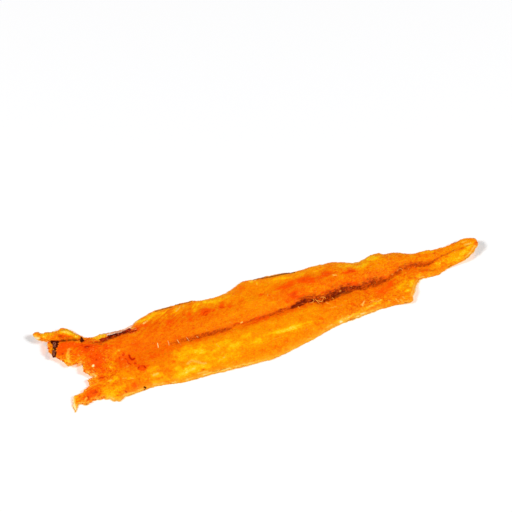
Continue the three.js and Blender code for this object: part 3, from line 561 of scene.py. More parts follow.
def relief(x, y, d, z0):
    """Fine relief of the dried flesh, in mm."""
    inn = 1 - np.exp(-d / 0.9)
    m = midline(x)
    s = seams(x, y)
    q = s - np.floor(s)
    block = (np.abs(q - 0.5) * 2) ** 6                      # narrow seam lines
    fibre = N2.fbm(s * 9.0, (y - m) * 0.55, 2) - 0.5        # fibres that follow the blocks
    along = N3.fbm(x * 0.30, y * 2.2, 3) - 0.5              # fibres along the fish
    lump = N1.fbm(x * 0.28, y * 0.40, 3) - 0.5
    crumple = np.abs(N4.fbm(x * 0.75, y * 0.85, 3) - 0.5)
    pits = N5.fbm(x * 1.25, y * 1.35, 2) - 0.5
    z = 0.42 * lump + 0.16 * fibre + 0.13 * along - 0.20 * crumple
    z = z + pits * (0.10 + 0.16 * smooth(-50, -60, x))
    z = z - 0.05 * block * smooth(1.0, 4.0, np.abs(y - m))
    # the marks have form too: raised bone ends and skin threads, sunken scars and creases
    u, v = as_seen(x, y, z0 + z)
    z = z + 0.13 * lines(u, v, PALE) - 0.16 * pool(u, v, RED) * 0.6 - 0.30 * lines(u, v, DARK, 3)
    # roll of the flap above the dark crevice
    z = z + 0.30 * lines(x, y, [([(-76, 17.6), (-71, 17.3), (-67, 17.6), (-64, 15.4)], 1.1, 1.1, 1)])
    # rough, sunken red muscle along the mid-line
    z = z + stripe(u, v)[0] * (0.60 * (N4.fbm(x * 1.6, y * 1.9, 2) - 0.5) - 0.08)
    return z * inn


def top_height(x, y, d):
    base = lift(x, y) + body_of_flesh(x, y, d)
    z = base + relief(x, y, d, base)
    return np.minimum(np.maximum(z, lift(x, y) + 0.18), NODE_HI.z / MM)


def surface(x, y):
    x, y = np.atleast_1d(np.asarray(x, float)), np.atleast_1d(np.asarray(y, float))
    return top_height(x, y, inset(x, y))


def seen_on(u, v):
    """The point of the flesh side that appears at u, v from the usual side."""
    u, v = np.atleast_1d(np.asarray(u, float)), np.atleast_1d(np.asarray(v, float))
    z = np.full_like(u, 2.0)
    for _ in range(8):
        x, y = u - 0.185 * (z - 1.5), v - 0.547 * (z - 1.5)
        z = 0.5 * z + 0.5 * surface(x, y)
    return np.stack([x, y, z], 1)


# ---------------------------------------------------------------- colour areas
def streaks(u, v, turn, long, wide, noise):
    """Noise drawn out along a direction."""
    c, s = math.cos(math.radians(turn)), math.sin(math.radians(turn))
    return noise.fbm((u * c + v * s) / long, (-u * s + v * c) / wide, 2, 0.6) - 0.5


def crisp(f, n):
    """Break a soft field into patches with torn edges."""
    return f * (0.25 + 0.80 * smooth(0.18, 0.40, f + n)) + 0.30 * np.minimum(f, 0.6) * smooth(0.5, 0.66, f + n)


def areas(x, y, d, z):
    """Strength of each colour over the flesh side, at points of the sketch."""
    u, v = as_seen(x, y, z)
    m = midline(u)
    w = v - m
    up, low = smooth(0.3, 1.5, w), smooth(-0.3, -1.5, w)
    wx = N2.fbm(u * 0.45, v * 0.45, 3) - 0.5
    wy = N3.fbm(u * 0.45, v * 0.45, 3) - 0.5
    fx = N5.fbm(u * 1.1, v * 1.2, 2) - 0.5
    fy = N6.fbm(u * 1.1, v * 1.2, 2) - 0.5
    gx, gy = u + 1.1 * wx + 0.9 * fx, v + 0.8 * wy + 0.7 * fy
    mott = N1.fbm(u * 0.33, v * 0.45, 4, 0.6) - 0.5
    fine = N4.fbm(u * 1.1, v * 1.3, 3, 0.6) - 0.5
    # fibres of the muscle: they lean on the back side, steeper on the belly side
    back = (smooth(-6, -14, u) * streaks(u, v, 31, 3.2, 0.50, N2) + smooth(-14, -6, u) * smooth(12, 4, u)
            * streaks(u, v, 17, 3.4, 0.55, N5) + smooth(4, 12, u) * streaks(u, v, 4, 4.2, 0.55, N6))
    front = 0.7 * streaks(u, v, -62, 1.8, 0.55, N3) + 0.6 * streaks(u, v, 2, 3.8, 0.6, N4)
    fibre = up * back + low * front
    gold = crisp(pool(gx, gy, GOLD), 0.9 * fine + 0.6 * fibre + 0.3 * mott)
    red = crisp(pool(gx, gy, RED, 0.6, 1.35), 0.9 * fine - 0.5 * fibre - 0.3 * mott)
    core, halo = stripe(u, v)
    # broad tone: the belly side is lighter, the head end and the loin are redder
    belly = smooth(-1.0, -3.0, w) * smooth(-38, -31, u) * smooth(40, 20, u)
    tone = 0.34 * belly + 0.14 * smooth(54, 70, u) * low + 0.10 * smooth(-2, 6, u) * up - 0.06
    tone = tone + 0.34 * pool(u, v, BROAD_GOLD, 0.4)
    broad = pool(u, v, BROAD_RED, 0.4)
    tone = tone - 0.14 * broad
    lively = 0.60 + 0.50 * smooth(-44, -56, u) + 0.25 * smooth(20, 50, u)
    tone = tone + 0.95 * gold + 0.60 * mott + 0.60 * fine * lively
    lean = 0.9 * hill(u, v, -29, 12.5, 13, 6, 6) + 0.35 + 0.25 * smooth(20, 60, u)
    tone = tone + 0.85 * fibre * lean
    # a few light threads stand out of the leaning fibres
    thread = smooth(0.14, 0.27, streaks(u, v, 31, 3.0, 0.42, N6))
    tone = tone + 0.95 * thread * hill(u, v, -29, 13.0, 12, 3.4, 8)
    # crumbly light and dark scraps at the torn end
    scrap = N6.fbm(u * 1.05, v * 1.3, 3, 0.6) - 0.5
    scar = N1.fbm(u * 0.9, v * 1.7, 3, 0.6) - 0.5
    rough = smooth(-48, -58, u) * (0.35 + 0.65 * smooth(-7.5, -4.0, v))
    tone = tone + rough * (0.26 * smooth(0.06, 0.15, scrap) - 0.42 * smooth(0.07, 0.15, scar))
    # fine strands under the flap
    strand = streaks(u, v, -17, 2.2, 0.40, N5)
    tone = tone + 1.5 * strand * hill(u, v, -60, 9.6, 8, 2.4, -15)
    s = seams(u, v)
    seam = (np.abs(s - np.floor(s) - 0.5) * 2) ** 8
    tone = tone + 0.12 * seam * smooth(1.5, 5, np.abs(w)) * (0.4 + mott + 0.5)
    # painted glow: lighter within about a millimetre of the edge, most at the torn head end, for light through the thin
    # flesh
    tone = tone + 0.18 * np.exp(-d / 0.8) + 0.25 * np.exp(-d / 0.5) * smooth(-54, -60, u)
    red = 0.82 * red + 0.24 * broad * (0.7 + 1.4 * np.clip(0.5 - mott - 0.6 * fibre, 0, 1) ** 2) + 0.50 * halo
    red = red + 0.5 * smooth(0.06, 0.30, -fine - 0.5 * mott) * (0.25 + broad) * (0.35 + 0.65 * smooth(-40, -52, u))
    pale = lines(u + 0.25 * wx, v + 0.25 * wy, PALE)
    dark = lines(u + 0.45 * wx + 0.5 * fx, v + 0.45 * wy + 0.5 * fy, DARK, 4)
    # the belly edge: a broken brown line of skin, with a pale streak inside it
    run_low = through([[-73, 0.3], [-62, 0.6], [-54, 0.45], [-44, 0.45], [-36, 0.55], [-24, 0.55], [-8, 0.6],
                       [0, 0.3], [14, 0.15], [24, 0.18], [31, 0.45], [36, 1.1], [42, 0.85], [50, 0.30], [56, 0.15],
                       [61, 0.35], [66, 0.4], [84, 0.3], [94, 0.6], [98, 0.6]])(u)
    rim = run_low * np.exp(-((d - 0.25 - 0.25 * run_low) / (0.22 + 0.30 * run_low)) ** 2)
    rim = rim * (0.15 + 1.25 * smooth(0.36, 0.68, N2.fbm(u * 0.55, v * 1.2, 3)))
    pale = np.maximum(pale, np.where((w < 0) & (u > -75), rim, 0))
    torn = smooth(-55, -60, u) * np.exp(-(d / 0.35) ** 2) * smooth(0.45, 0.7, N3.fbm(u * 0.8, v * 0.8, 2))
    pale = np.maximum(pale, 0.6 * torn)
    dash = lines(u, v, EDGE_DASH, 3)
    back_run = through([[-80, 0.5], [-60, 0.35], [-45, 0.3], [-31, 0.5], [-29, 0.6], [-17, 0.6], [-14, 0.4],
                        [0, 0.35], [8, 0.6], [12, 0.95], [22, 0.95], [26, 0.6], [32, 0.65], [35, 0.55],
                        [45, 0.5], [58, 0.5], [70, 0.35], [98, 0.5]])(u)
    back_run = np.where((u < -58) & (v < 17), 0.55, back_run)
    edge = np.where(w > 0, back_run, np.where(u < -60, 0.45, 0.42)) * np.exp(-(d / 0.26) ** 2) * (2.2 * N3.fbm(u * 1.1, v * 1.1, 2) - 0.45)
    inner = 0.40 * run_low * np.exp(-((d - 0.9 - 0.4 * run_low) / 0.17) ** 2) * smooth(0.46, 0.66, N4.fbm(u * 0.35, v * 0.35, 2))
    vein = lines(u + 0.4 * fx, v + 0.4 * fy, VEINS, 2.5) * (0.45 + 1.1 * N1.fbm(u * 1.5, v * 1.5, 2))
    skin = np.maximum(np.maximum(dash, edge), np.where(w < 0, inner, 0))
    # the flesh thins towards its edge; painted glow: its colour is made lighter there for light passing through the
    # thin flesh
    painted_edge_glow = np.where(w < 0, 0.50 * np.exp(-d / 0.7), 0.26 * np.exp(-d / 0.9)) * (0.35 + 1.3 * N6.fbm(u * 0.7, v * 0.7, 2))
    painted_edge_glow = painted_edge_glow * (0.35 + 0.65 * smooth(-63, -56, u)) * (0.35 + 0.65 * smooth(56, 47, u))
    # how freely the grain shows, and how much light gets through
    grain = 0.48 + 0.46 * smooth(-48, -56, u) * (0.45 + 0.55 * smooth(-7.5, -4, v)) + 0.26 * smooth(15, 50, u) - 0.10 * hill(u, v, -40, 4, 12, 5)
    thru = 1 - 0.4 * smooth(0.2, 0.7, dark) - 1.0 * smooth(90, 96, u) - 0.9 * hill(u, v, -79, 19.5, 4, 3)
    thru = thru - 0.5 * smooth(0.3, 0.9, core)
    return dict(tone=tone, red=red, stripe=core, pale=pale, dark=dark, skin=skin, grain=grain, rim=painted_edge_glow, vein=vein,
                thru=np.clip(thru, 0, 1), seam=s, bend=w)


# ---------------------------------------------------------------- mesh
def grid_points(loop, d_of, step, margin, seed, jitter=0.12):
    rng = np.random.default_rng(seed)
    lo, hi = loop.min(0) - step, loop.max(0) + step
    rows, j = [], 0
    for yy in np.arange(lo[1], hi[1], step * 0.866):
        xx = np.arange(lo[0], hi[0], step) + (step / 2 if j % 2 else 0)
        rows.append(np.stack([xx, np.full_like(xx, yy)], 1))
        j += 1
    P = np.vstack(rows)
    P = P + rng.uniform(-jitter, jitter, P.shape) * step
    P = P[inside(P, loop)]
    return P[d_of(P[:, 0], P[:, 1]) > margin]


def triangulate(loop, P):
    """Constrained triangles over the loop and the points P (loop first)."""
    n = len(loop)
    A = np.vstack([loop, P])
    out = delaunay_2d_cdt([Vector(p) for p in A], [(i, (i + 1) % n) for i in range(n)], [], 1, 1e-6)
    V = np.array([(v.x, v.y) for v in out[0]])
    F = np.array([f for f in out[2] if len(f) == 3])
    F = F[inside(V[F].mean(1), loop)]
    a, b, c = V[F[:, 0]], V[F[:, 1]], V[F[:, 2]]
    area = (b[:, 0] - a[:, 0]) * (c[:, 1] - a[:, 1]) - (b[:, 1] - a[:, 1]) * (c[:, 0] - a[:, 0])
    F[area < 0] = F[area < 0][:, ::-1]
    back = np.full(len(A), -1)
    for k, src in enumerate(out[3]):
        for s_ in src:
            back[s_] = k
    return V, F, back


def new_piece(name, co, faces, values, material, smooth_shade=True):
    me = bpy.data.meshes.new(name)
    me.from_pydata(to_frame(co).tolist(), [], [tuple(int(i) for i in f) for f in faces])
    me.validate()
    me.update()
    for key, val in values.items():
        at = me.attributes.new(key, "FLOAT", "POINT")
        at.data.foreach_set("value", np.clip(val, -50, 50).astype(np.float32))
    me.polygons.foreach_set("use_smooth", [smooth_shade] * len(me.polygons))
    me.materials.append(material)
    ob = bpy.data.objects.new(name, me)
    bpy.context.scene.collection.objects.link(ob)
    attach(ob, "root")
    return ob


def slab(loop, d_of, top_fn, bottom_fn, fine, coarse, bulge=0.10, seed=5, margin=0.14):
    """Closed sheet over a loop: top and bottom surfaces and a rounded wall."""
    V1, F1, back1 = triangulate(loop, grid_points(loop, d_of, fine, margin, seed))
    V2, F2, back2 = triangulate(loop, grid_points(loop, d_of, coarse, max(margin, coarse * 0.6), seed + 1))
    d1, d2 = d_of(V1[:, 0], V1[:, 1]), d_of(V2[:, 0], V2[:, 1])
    d1[d1 < 0.02] = 0
    zt, zb = top_fn(V1[:, 0], V1[:, 1], d1), bottom_fn(V2[:, 0], V2[:, 1], d2)
    n, base2, r0 = len(loop), len(V1), len(V1) + len(V2)
    nrm = loop_normals(loop)
    top, bot = back1[:n], back2[:n] + base2
    mid = np.column_stack([loop + nrm * bulge, 0.55 * zt[top] + 0.45 * zb[bot - base2]])
    walls = []
    for i in range(n):
        j = (i + 1) % n
        walls += [(top[i], r0 + i, r0 + j, top[j]), (r0 + i, bot[i], bot[j], r0 + j)]
    co = np.vstack([np.column_stack([V1, zt]), np.column_stack([V2, zb]), mid])
    faces = [tuple(f) for f in F1] + [tuple(f[::-1] + base2) for f in F2] + walls
    d = np.concatenate([d1, d2, np.zeros(n)])
    side = np.concatenate([np.zeros(len(V1)), np.ones(len(V2)), np.full(n, 0.5)])
    return co, faces, d, side


def skin_side(x, y, d):
    z = lift(x, y)
    return z + 0.10 * N2.fbm(x * 0.6, y * 0.6, 2) * smooth(0.0, 1.0, z) * np.exp(-d / 3)


def make_fillet(material):
    co, faces, d, side = slab(RIM, inset, top_height, skin_side, 0.30, 0.85)
    x, y, z = co.T
    A = areas(x, y, d, z)
    A["under"] = side
    A["across"] = (y - midline(x)) / 18.0
    return new_piece("fillet_flesh", co, faces, A, material)


# ---------------------------------------------------------------- materials
def lin(r, g, b):
    f = lambda c: (c / 255) / 12.92 if c <= 10.3 else ((c / 255 + 0.055) / 1.055) ** 2.4
    return (f(r), f(g), f(b), 1.0)


class Nodes:
    """Short hands for a node tree."""

    def __init__(self, name):
        self.m = bpy.data.materials.new(name)
        self.m.use_nodes = True
        self.t = self.m.node_tree
        self.t.nodes.clear()
        self.out = self.t.nodes.new("ShaderNodeOutputMaterial")
        self.p = self.t.nodes.new("ShaderNodeBsdfPrincipled")
        self.t.links.new(self.p.outputs[0], self.out.inputs[0])

    def new(self, kind, **sets):
        n = self.t.nodes.new(kind)
        for k, v in sets.items():
            setattr(n, k, v)
        return n

    def put(self, socket, value):
        if isinstance(value, bpy.types.NodeSocket):
            self.t.links.new(value, socket)
        else:
            socket.default_value = value

    def attr(self, name):
        return self.new("ShaderNodeAttribute", attribute_name=name).outputs["Fac"]

    def math(self, op, a, b=0.0, c=0.0, clamp=False):
        n = self.new("ShaderNodeMath", operation=op, use_clamp=clamp)
        self.put(n.inputs[0], a)
        self.put(n.inputs[1], b)
        if len(n.inputs) > 2:
            self.put(n.inputs[2], c)
        return n.outputs[0]

    def about(self, v, amount):
        """(v - 0.5) * amount"""
        return self.math("MULTIPLY", self.math("SUBTRACT", v, 0.5), amount)

    def total(self, *terms):
        out = terms[0]
        for t in terms[1:]:
            out = self.math("ADD", out, t)
        return out

    def mix(self, fac, a, b):
        n = self.new("ShaderNodeMix", data_type="RGBA")
        self.put(n.inputs[0], fac)
        self.put(n.inputs[6], a)
        self.put(n.inputs[7], b)
        return n.outputs[2]

    def ramp(self, v, lo, hi, stops):
        """Colours at the given values of v, blended between."""
        n = self.new("ShaderNodeValToRGB")
        self.put(n.inputs[0], self.remap(v, lo, hi))
        el = n.color_ramp.elements
        while len(el) > 1:
            el.remove(el[-1])
        el[0].position, el[0].color = (stops[0][0] - lo) / (hi - lo), lin(*stops[0][1])
        for at, col in stops[1:]:
            e = el.new((at - lo) / (hi - lo))
            e.color = lin(*col)
        return n.outputs[0]

    def coords(self, scale):
        c = self.new("ShaderNodeTexCoord")
        mp = self.new("ShaderNodeMapping")
        self.t.links.new(c.outputs["Object"], mp.inputs[0])
        mp.inputs["Scale"].default_value = scale
        return mp.outputs[0]

    def pair(self, a, b):
        n = self.new("ShaderNodeCombineXYZ")
        self.put(n.inputs[0], a)
        self.put(n.inputs[1], b)
        return n.outputs[0]

    def noise(self, vec, detail=3.0, rough=0.55, scale=1.0):
        n = self.new("ShaderNodeTexNoise")
        self.put(n.inputs["Vector"], vec)
        n.inputs["Scale"].default_value = scale
        n.inputs["Detail"].default_value = detail
        n.inputs["Roughness"].default_value = rough
        return n.outputs[0]

    def remap(self, v, a, b, c=0.0, d=1.0):
        n = self.new("ShaderNodeMapRange")
        self.put(n.inputs[0], v)
        for i, q in enumerate((a, b, c, d)):
            n.inputs[i + 1].default_value = q
        return n.outputs[0]

    def bump(self, height, strength, distance):
        b = self.new("ShaderNodeBump")
        b.inputs["Strength"].default_value = strength
        b.inputs["Distance"].default_value = distance
        self.put(b.inputs["Height"], height)
        self.put(self.p.inputs["Normal"], b.outputs[0])

    def glow_through(self, colour):
        """Light that crosses the thin dried flesh comes out tinted."""
        lp = self.new("ShaderNodeLightPath")
        tr = self.new("ShaderNodeBsdfTransparent")
        mx = self.new("ShaderNodeMixShader")
        self.put(tr.inputs[0], colour)
        self.t.links.new(lp.outputs["Is Shadow Ray"], mx.inputs[0])
        self.t.links.new(self.p.outputs[0], mx.inputs[1])
        self.t.links.new(tr.outputs[0], mx.inputs[2])
        self.t.links.new(mx.outputs[0], self.out.inputs[0])


def flesh_material():
    k = Nodes("dried_flesh")
    g = k.attr("grain")
    blot = k.noise(k.coords((260, 330, 260)), 4, 0.6)          # about 4 mm
    speck = k.noise(k.coords((850, 1000, 900)), 2, 0.6)        # about 1 mm
    pit = k.noise(k.coords((2000, 2300, 2100)), 1, 0.6)        # about 0.45 mm
    along = k.noise(k.coords((520, 2400, 2400)), 2, 0.6)       # fibres along the fish
    block = k.noise(k.pair(k.math("MULTIPLY", k.attr("seam"), 7.0),
                           k.math("MULTIPLY", k.attr("bend"), 0.55)), 2, 0.6)   # fibres of the muscle blocks
    fleck = k.noise(k.coords((620, 980, 700)), 3, 0.7)
    mote = k.noise(k.coords((1150, 900, 1000)), 2, 0.6)
    cream_fleck_and_glint = k.noise(k.coords((1350, 2000, 1500)), 2, 0.65)     # fine light flecks
    t = k.total(k.about(speck, 1.45), k.about(pit, 2.8), k.about(along, 0.9), k.about(block, 0.7),
                k.remap(fleck, 0.60, 0.76, 0.0, 0.6), k.remap(mote, 0.62, 0.78, 0.0, -0.9))
    t = k.total(k.attr("tone"), k.math("MULTIPLY", t, g), k.about(blot, 0.30))
    col = k.ramp(t, -2.0, 2.4, [
        (-2.0, (112, 18, 0)), (-1.5, (156, 34, 0)), (-1.0, (202, 62, 0)), (-0.6, (227, 87, 0)),
        (-0.2, (239, 111, 0)), (0.05, (243, 126, 0)), (0.45, (246, 148, 0)), (0.95, (249, 172, 1)),
        (1.4, (252, 190, 6)), (1.8, (254, 208, 56)), (2.4, (255, 230, 156))])
    # redder patches and blood spots
    r = k.total(k.attr("red"), k.math("MULTIPLY", k.total(k.about(speck, -0.8), k.about(pit, -0.5)), g))
    col = k.mix(k.remap(r, 0.06, 0.85, 0.0, 0.94), col, lin(246, 80, 0))
    col = k.mix(k.remap(r, 1.05, 1.65, 0.0, 0.9), col, lin(206, 46, 0))
    ve = k.total(k.attr("vein"), k.about(speck, 0.5), k.about(pit, 0.5))
    col = k.mix(k.remap(ve, 0.18, 0.52, 0.0, 0.75), col, lin(228, 66, 0))
    col = k.mix(k.remap(ve, 0.50, 1.0, 0.0, 0.9), col, lin(186, 28, 0))
    # red muscle of the mid-line
    hair = k.noise(k.coords((700, 3400, 2400)), 2, 0.65)       # fine fibres of the stripe
    s = k.total(k.attr("stripe"), k.math("MULTIPLY", k.remap(k.attr("stripe"), 0.05, 0.5, 0.3, 1.0), k.total(
        k.about(speck, 0.7), k.about(pit, 1.1), k.about(hair, 1.2), k.remap(mote, 0.60, 0.74, 0.0, -0.45))))
    col = k.mix(k.remap(s, 0.12, 0.58, 0.0, 0.94), col, lin(192, 67, 2))
    col = k.mix(k.remap(s, 0.58, 1.06, 0.0, 0.97), col, lin(110, 22, 0))
    # pale streaks and skin rim, with the painted glow of light through the thin edge (glow)
    p = k.total(k.attr("pale"), k.about(speck, 0.4), k.about(pit, 0.3))
    glow = k.math("MULTIPLY", k.attr("rim"), k.remap(speck, 0.3, 0.7, 0.6, 1.4), clamp=True)
    col = k.mix(glow, col, lin(254, 196, 62))
    # light flecks: partly fibre ends, partly painted glints of the oily surface
    col = k.mix(k.math("MULTIPLY", k.remap(cream_fleck_and_glint, 0.64, 0.78, 0.0, 0.9), g, clamp=True), col, lin(255, 202, 86))
    col = k.mix(k.remap(p, 0.12, 0.60, 0.0, 0.85), col, lin(253, 190, 70))
    col = k.mix(k.remap(p, 0.60, 1.05, 0.0, 1.0), col, lin(255, 228, 168))
    col = k.mix(k.remap(p, 1.10, 1.45, 0.0, 0.9), col, lin(255, 244, 220))
    # skin line, membrane stain, and painted shade along the crevice under the flap
    sk = k.total(k.attr("skin"), k.about(speck, 0.5))
    col = k.mix(k.remap(sk, 0.22, 0.85, 0.0, 0.88), col, lin(150, 76, 12))
    col = k.mix(k.remap(sk, 0.90, 1.25, 0.0, 0.9), col, lin(88, 46, 10))
    dk = k.total(k.attr("dark"), k.about(speck, 0.9), k.about(pit, 0.9))
    col = k.mix(k.remap(dk, 0.20, 0.55, 0.0, 0.80), col, lin(150, 44, 0))
    col = k.mix(k.remap(dk, 0.50, 0.95, 0.0, 0.97), col, lin(46, 10, 2))
    # skin side underneath: silver belly to blue-grey back
    ac = k.attr("across")
    under = k.mix(k.remap(ac, -0.6, 0.3), lin(226, 196, 150), lin(196, 150, 104))
    under = k.mix(k.remap(ac, 0.35, 0.95), under, lin(92, 84, 84))
    under = k.mix(k.remap(blot, 0.45, 0.75, 0.0, 0.6), under, lin(206, 122, 52))
    scale = k.new("ShaderNodeTexVoronoi")
    k.put(scale.inputs["Vector"], k.coords((420, 620, 100)))
    scale.inputs["Scale"].default_value = 1.0
    under = k.mix(k.remap(scale.outputs[0], 0.35, 0.75, 0.0, 0.35), under, lin(240, 228, 206))
    col = k.mix(k.remap(k.attr("under"), 0.55, 0.95), col, under)
    k.put(k.p.inputs["Base Color"], col)
    k.put(k.p.inputs["Roughness"], k.remap(speck, 0.3, 0.7, 0.36, 0.58))
    k.p.inputs["Specular IOR Level"].default_value = 0.03
    k.p.inputs["Subsurface Weight"].default_value = 0.12
    k.p.inputs["Subsurface Radius"].default_value = (1.0, 0.32, 0.04)
    k.p.inputs["Subsurface Scale"].default_value = 0.0008
    h = k.total(k.math("MULTIPLY", along, 0.6), k.math("MULTIPLY", block, 0.5),
                k.math("MULTIPLY", speck, 1.0), k.math("MULTIPLY", pit, 0.5))
    k.bump(h, 0.6, 0.00014)
    k.glow_through(k.mix(k.attr("thru"), (0.04, 0.03, 0.02, 1), (0.95, 0.54, 0.03, 1)))
    return k.m


# ---------------------------------------------------------------- small pieces
def torn_loop(pts, step, ease, bite):
    """A closed outline, anticlockwise, with eased corners and a torn edge."""
    Q = resample(np.array(pts, float), step)
    a, b = Q, np.roll(Q, -1, 0)
    if (a[:, 0] * b[:, 1] - b[:, 0] * a[:, 1]).sum() < 0:
        Q = Q[::-1]
    k = max(1, int(ease / step))
    h = np.hanning(2 * k + 3)[1:-1]
    h /= h.sum()
    Q = np.stack([np.convolve(np.concatenate([Q[-k:, i], Q[:, i], Q[:k, i]]), h, "valid") for i in (0, 1)], 1)
    t = N5.fbm(Q[:, 0] * 2.2, Q[:, 1] * 2.2, 3) - 0.5
    return resample(Q + loop_normals(Q) * (bite * t)[:, None], step)


def depth_of(loop):
    """Distance in from the edge of a loop, as a function."""
    fine = resample(loop, 0.04)
    tree = KDTree(len(fine))
    for i, p in enumerate(fine):
        tree.insert((p[0], p[1], 0.0), i)
    tree.balance()
    return lambda x, y: np.array([tree.find((a, b, 0.0))[2] for a, b in zip(x, y)])


def on_flesh(x, y):
    """Height of the flesh, level with its edge outside it."""
    d = inset(x, y)
    return top_height(x, y, np.where(inside(np.stack([x, y], 1), RIM), d, 0.0))


MEMBRANE = [(-73.7, 15.4), (-72.4, 15.3), (-70.8, 14.8), (-71.0, 13.9), (-71.4, 13.1), (-72.1, 12.4),
            (-72.6, 11.5), (-72.9, 10.6), (-73.2, 9.5), (-73.7, 8.6), (-74.3, 8.6), (-74.7, 9.1),
            (-74.6, 10.1), (-74.1, 11.2), (-73.8, 12.2), (-73.5, 13.2), (-73.7, 14.2), (-73.8, 14.9)]
SPIKE = [(-62.1, 14.5), (-61.9, 14.5), (-61.6, 13.2), (-61.3, 11.9), (-62.3, 11.9), (-63.1, 12.2), (-62.7, 13.3)]
STRIP = [(-56.0, 10.9), (-55.8, 10.2), (-55.3, 9.7), (-54.3, 9.3), (-53.3, 9.4), (-52.5, 9.8), (-51.3, 10.1), (-50.3, 10.2),
         (-49.2, 9.9), (-48.3, 9.9), (-47.3, 10.2), (-46.2, 10.1), (-45.1, 10.2), (-44.1, 10.5), (-43.2, 10.8), (-42.2, 10.5),
         (-41.0, 10.6), (-40.7, 11.1), (-42.0, 11.3), (-43.0, 11.5), (-43.2, 12.4), (-43.6, 12.5), (-44.2, 12.3), (-45.0, 11.9),
         (-45.8, 11.6), (-46.8, 11.4), (-48.8, 11.4), (-49.9, 11.7), (-50.6, 11.5), (-51.7, 11.7), (-52.5, 11.6), (-52.8, 10.9),
         (-53.8, 11.0), (-54.9, 11.2)]
FOLD = [(-52.3, 11.2), (-50.0, 11.1), (-47.0, 10.9), (-44.6, 11.4), (-43.0, 11.9), (-42.3, 12.6), (-41.6, 13.5),
        (-42.4, 13.4), (-43.6, 13.1), (-45.2, 12.75), (-47.0, 12.75), (-48.6, 12.6), (-50.2, 12.35), (-51.4, 12.6), (-52.6, 12.5)]
RINGS = [(-72.6, 14.0, 0.42), (-72.9, 12.9, 0.30), (-73.7, 10.6, 0.45), (-74.0, 9.5, 0.30)]


def make_films(material):
    """Dark lining skin left on the flesh: two torn scraps, a long strip and the pale fold above it."""
    co, faces, film, ring, n = [], [], [], [], 0
    for pts, thick, bite, ease, hue in ((MEMBRANE, 0.14, 1.1, 0.15, 0.0), (SPIKE, 0.13, 0.25, 0.11, 0.0),
                                        (STRIP, 0.12, 0.6, 0.16, 1.0), (FOLD, 0.05, 0.5, 0.16, 2.0)):
        loop = torn_loop(pts, 0.10, ease, bite)
        d_of = depth_of(loop)

        def top(x, y, d, thick=thick):
            z = on_flesh(x, y) + thick * (0.35 + 0.65 * (1 - np.exp(-d / 0.12)))
            z = z + 0.16 * (N5.fbm(x * 2.6, y * 2.6, 2) - 0.5)
            for cx, cy, r in RINGS:
                z = z + 0.10 * np.exp(-((np.hypot(x - cx, y - cy) - r) / 0.12) ** 2)
            return np.minimum(z, NODE_HI.z / MM + 0.08)

        def bottom(x, y, d):
            return on_flesh(x, y) - 0.22

        c, f, _, _ = slab(loop, d_of, top, bottom, 0.14, 0.30, 0.03, 9, 0.06)
        x, y = c[:, 0], c[:, 1]
        co.append(c)
        faces += [tuple(i + n for i in q) for q in f]
        n += len(c)
        # the strip is near black in its middle, browner at the head end and red at its other end
        if hue == 2.0:
            f = 2.05 + 0.9 * (N2.fbm(x * 0.9, y * 2.2, 3) - 0.45) + 0.35 * smooth(-50, -51, x)
        elif hue == 1.0:
            f = (0.11 + 0.34 * smooth(-52.0, -53.5, x) + 0.62 * smooth(-43.6, -42.4, x)
                 + 0.30 * smooth(0.30, 0.05, d_of(x, y)) + 1.5 * (N2.fbm(x * 1.3, y * 3.2, 3) - 0.5)
                 - 0.25 * hill(x, y, -51.2, 11.4, 1.3, 0.6) + 0.25 * smooth(-46.5, -44.5, x))
        else:
            f = np.full(len(c), -0.22)
        film.append(f)
        r = np.zeros(len(c))
        for cx, cy, rr in RINGS:
            r = np.maximum(r, np.exp(-((np.hypot(x - cx, y - cy) - rr) / 0.13) ** 2))
        ring.append(r)
    return new_piece("dark_membrane", np.vstack(co), faces,
                     dict(film=np.concatenate(film), ring=np.concatenate(ring)), material)


def rod(path, radii, sides=8):
    """Closed tapered tube along a path."""
    path, radii = np.asarray(path, float), np.asarray(radii, float)
    n = len(path)
    T = np.gradient(path, axis=0)
    T /= np.maximum(np.linalg.norm(T, axis=1), 1e-9)[:, None]
    A = np.cross(T, (0.0, 0.0, 1.0))
    A /= np.maximum(np.linalg.norm(A, axis=1), 1e-9)[:, None]
    B = np.cross(A, T)
    t = 2 * np.pi * np.arange(sides) / sides
    ring = path[:, None] + radii[:, None, None] * (np.cos(t)[None, :, None] * A[:, None]
                                                   + np.sin(t)[None, :, None] * B[:, None])
    co = np.vstack([ring.reshape(-1, 3), path[:1] - T[:1] * radii[0] * 0.6, path[-1:] + T[-1:] * radii[-1] * 0.6])
    faces = []
    for i in range(n - 1):
        for j in range(sides):
            k = (j + 1) % sides
            faces.append((i * sides + j, (i + 1) * sides + j, (i + 1) * sides + k, i * sides + k))
    for j in range(sides):
        k = (j + 1) % sides
        faces.append((n * sides, j, k))
        faces.append((n * sides + 1, (n - 1) * sides + k, (n - 1) * sides + j))
    return co, faces


def joined_rods(name, rods, material):
    co, faces, n = [], [], 0
    for c, f in rods:
        co.append(c)
        faces += [tuple(i + n for i in q) for q in f]
        n += len(c)
    return new_piece(name, np.vstack(co), faces, {}, material)


BONES = [((-35.1, 2.45), (-35.4, 0.35), 0.14, 0.21), ((-31.0, 2.0), (-31.2, 0.0), 0.08, 0.07),
         ((-27.6, 1.35), (-27.3, -0.35), 0.09, 0.09), ((-23.8, 1.15), (-23.4, -0.75), 0.08, 0.06),
         ((-20.1, 0.15), (-19.6, -0.35), 0.14, 0.07)]


def make_bones(material):
    """Cut ends of the pin bones, lying in the flesh on the mid-line."""
    rods = []
    for a, b, ra, rb in BONES:
        t = np.linspace(0, 1, 9)
        p = seen_on(a[0] + (b[0] - a[0]) * t, a[1] + (b[1] - a[1]) * t)
        p[:, 2] = np.convolve(np.pad(p[:, 2], 2, "edge"), np.ones(5) / 5, "valid")
        r = (ra + (rb - ra) * t) * (0.75 + 0.25 * np.sin(np.pi * t))
        p[:, 2] += 0.4 * r
        rods.append(rod(p, r))
    return joined_rods("pin_bones", rods, material)


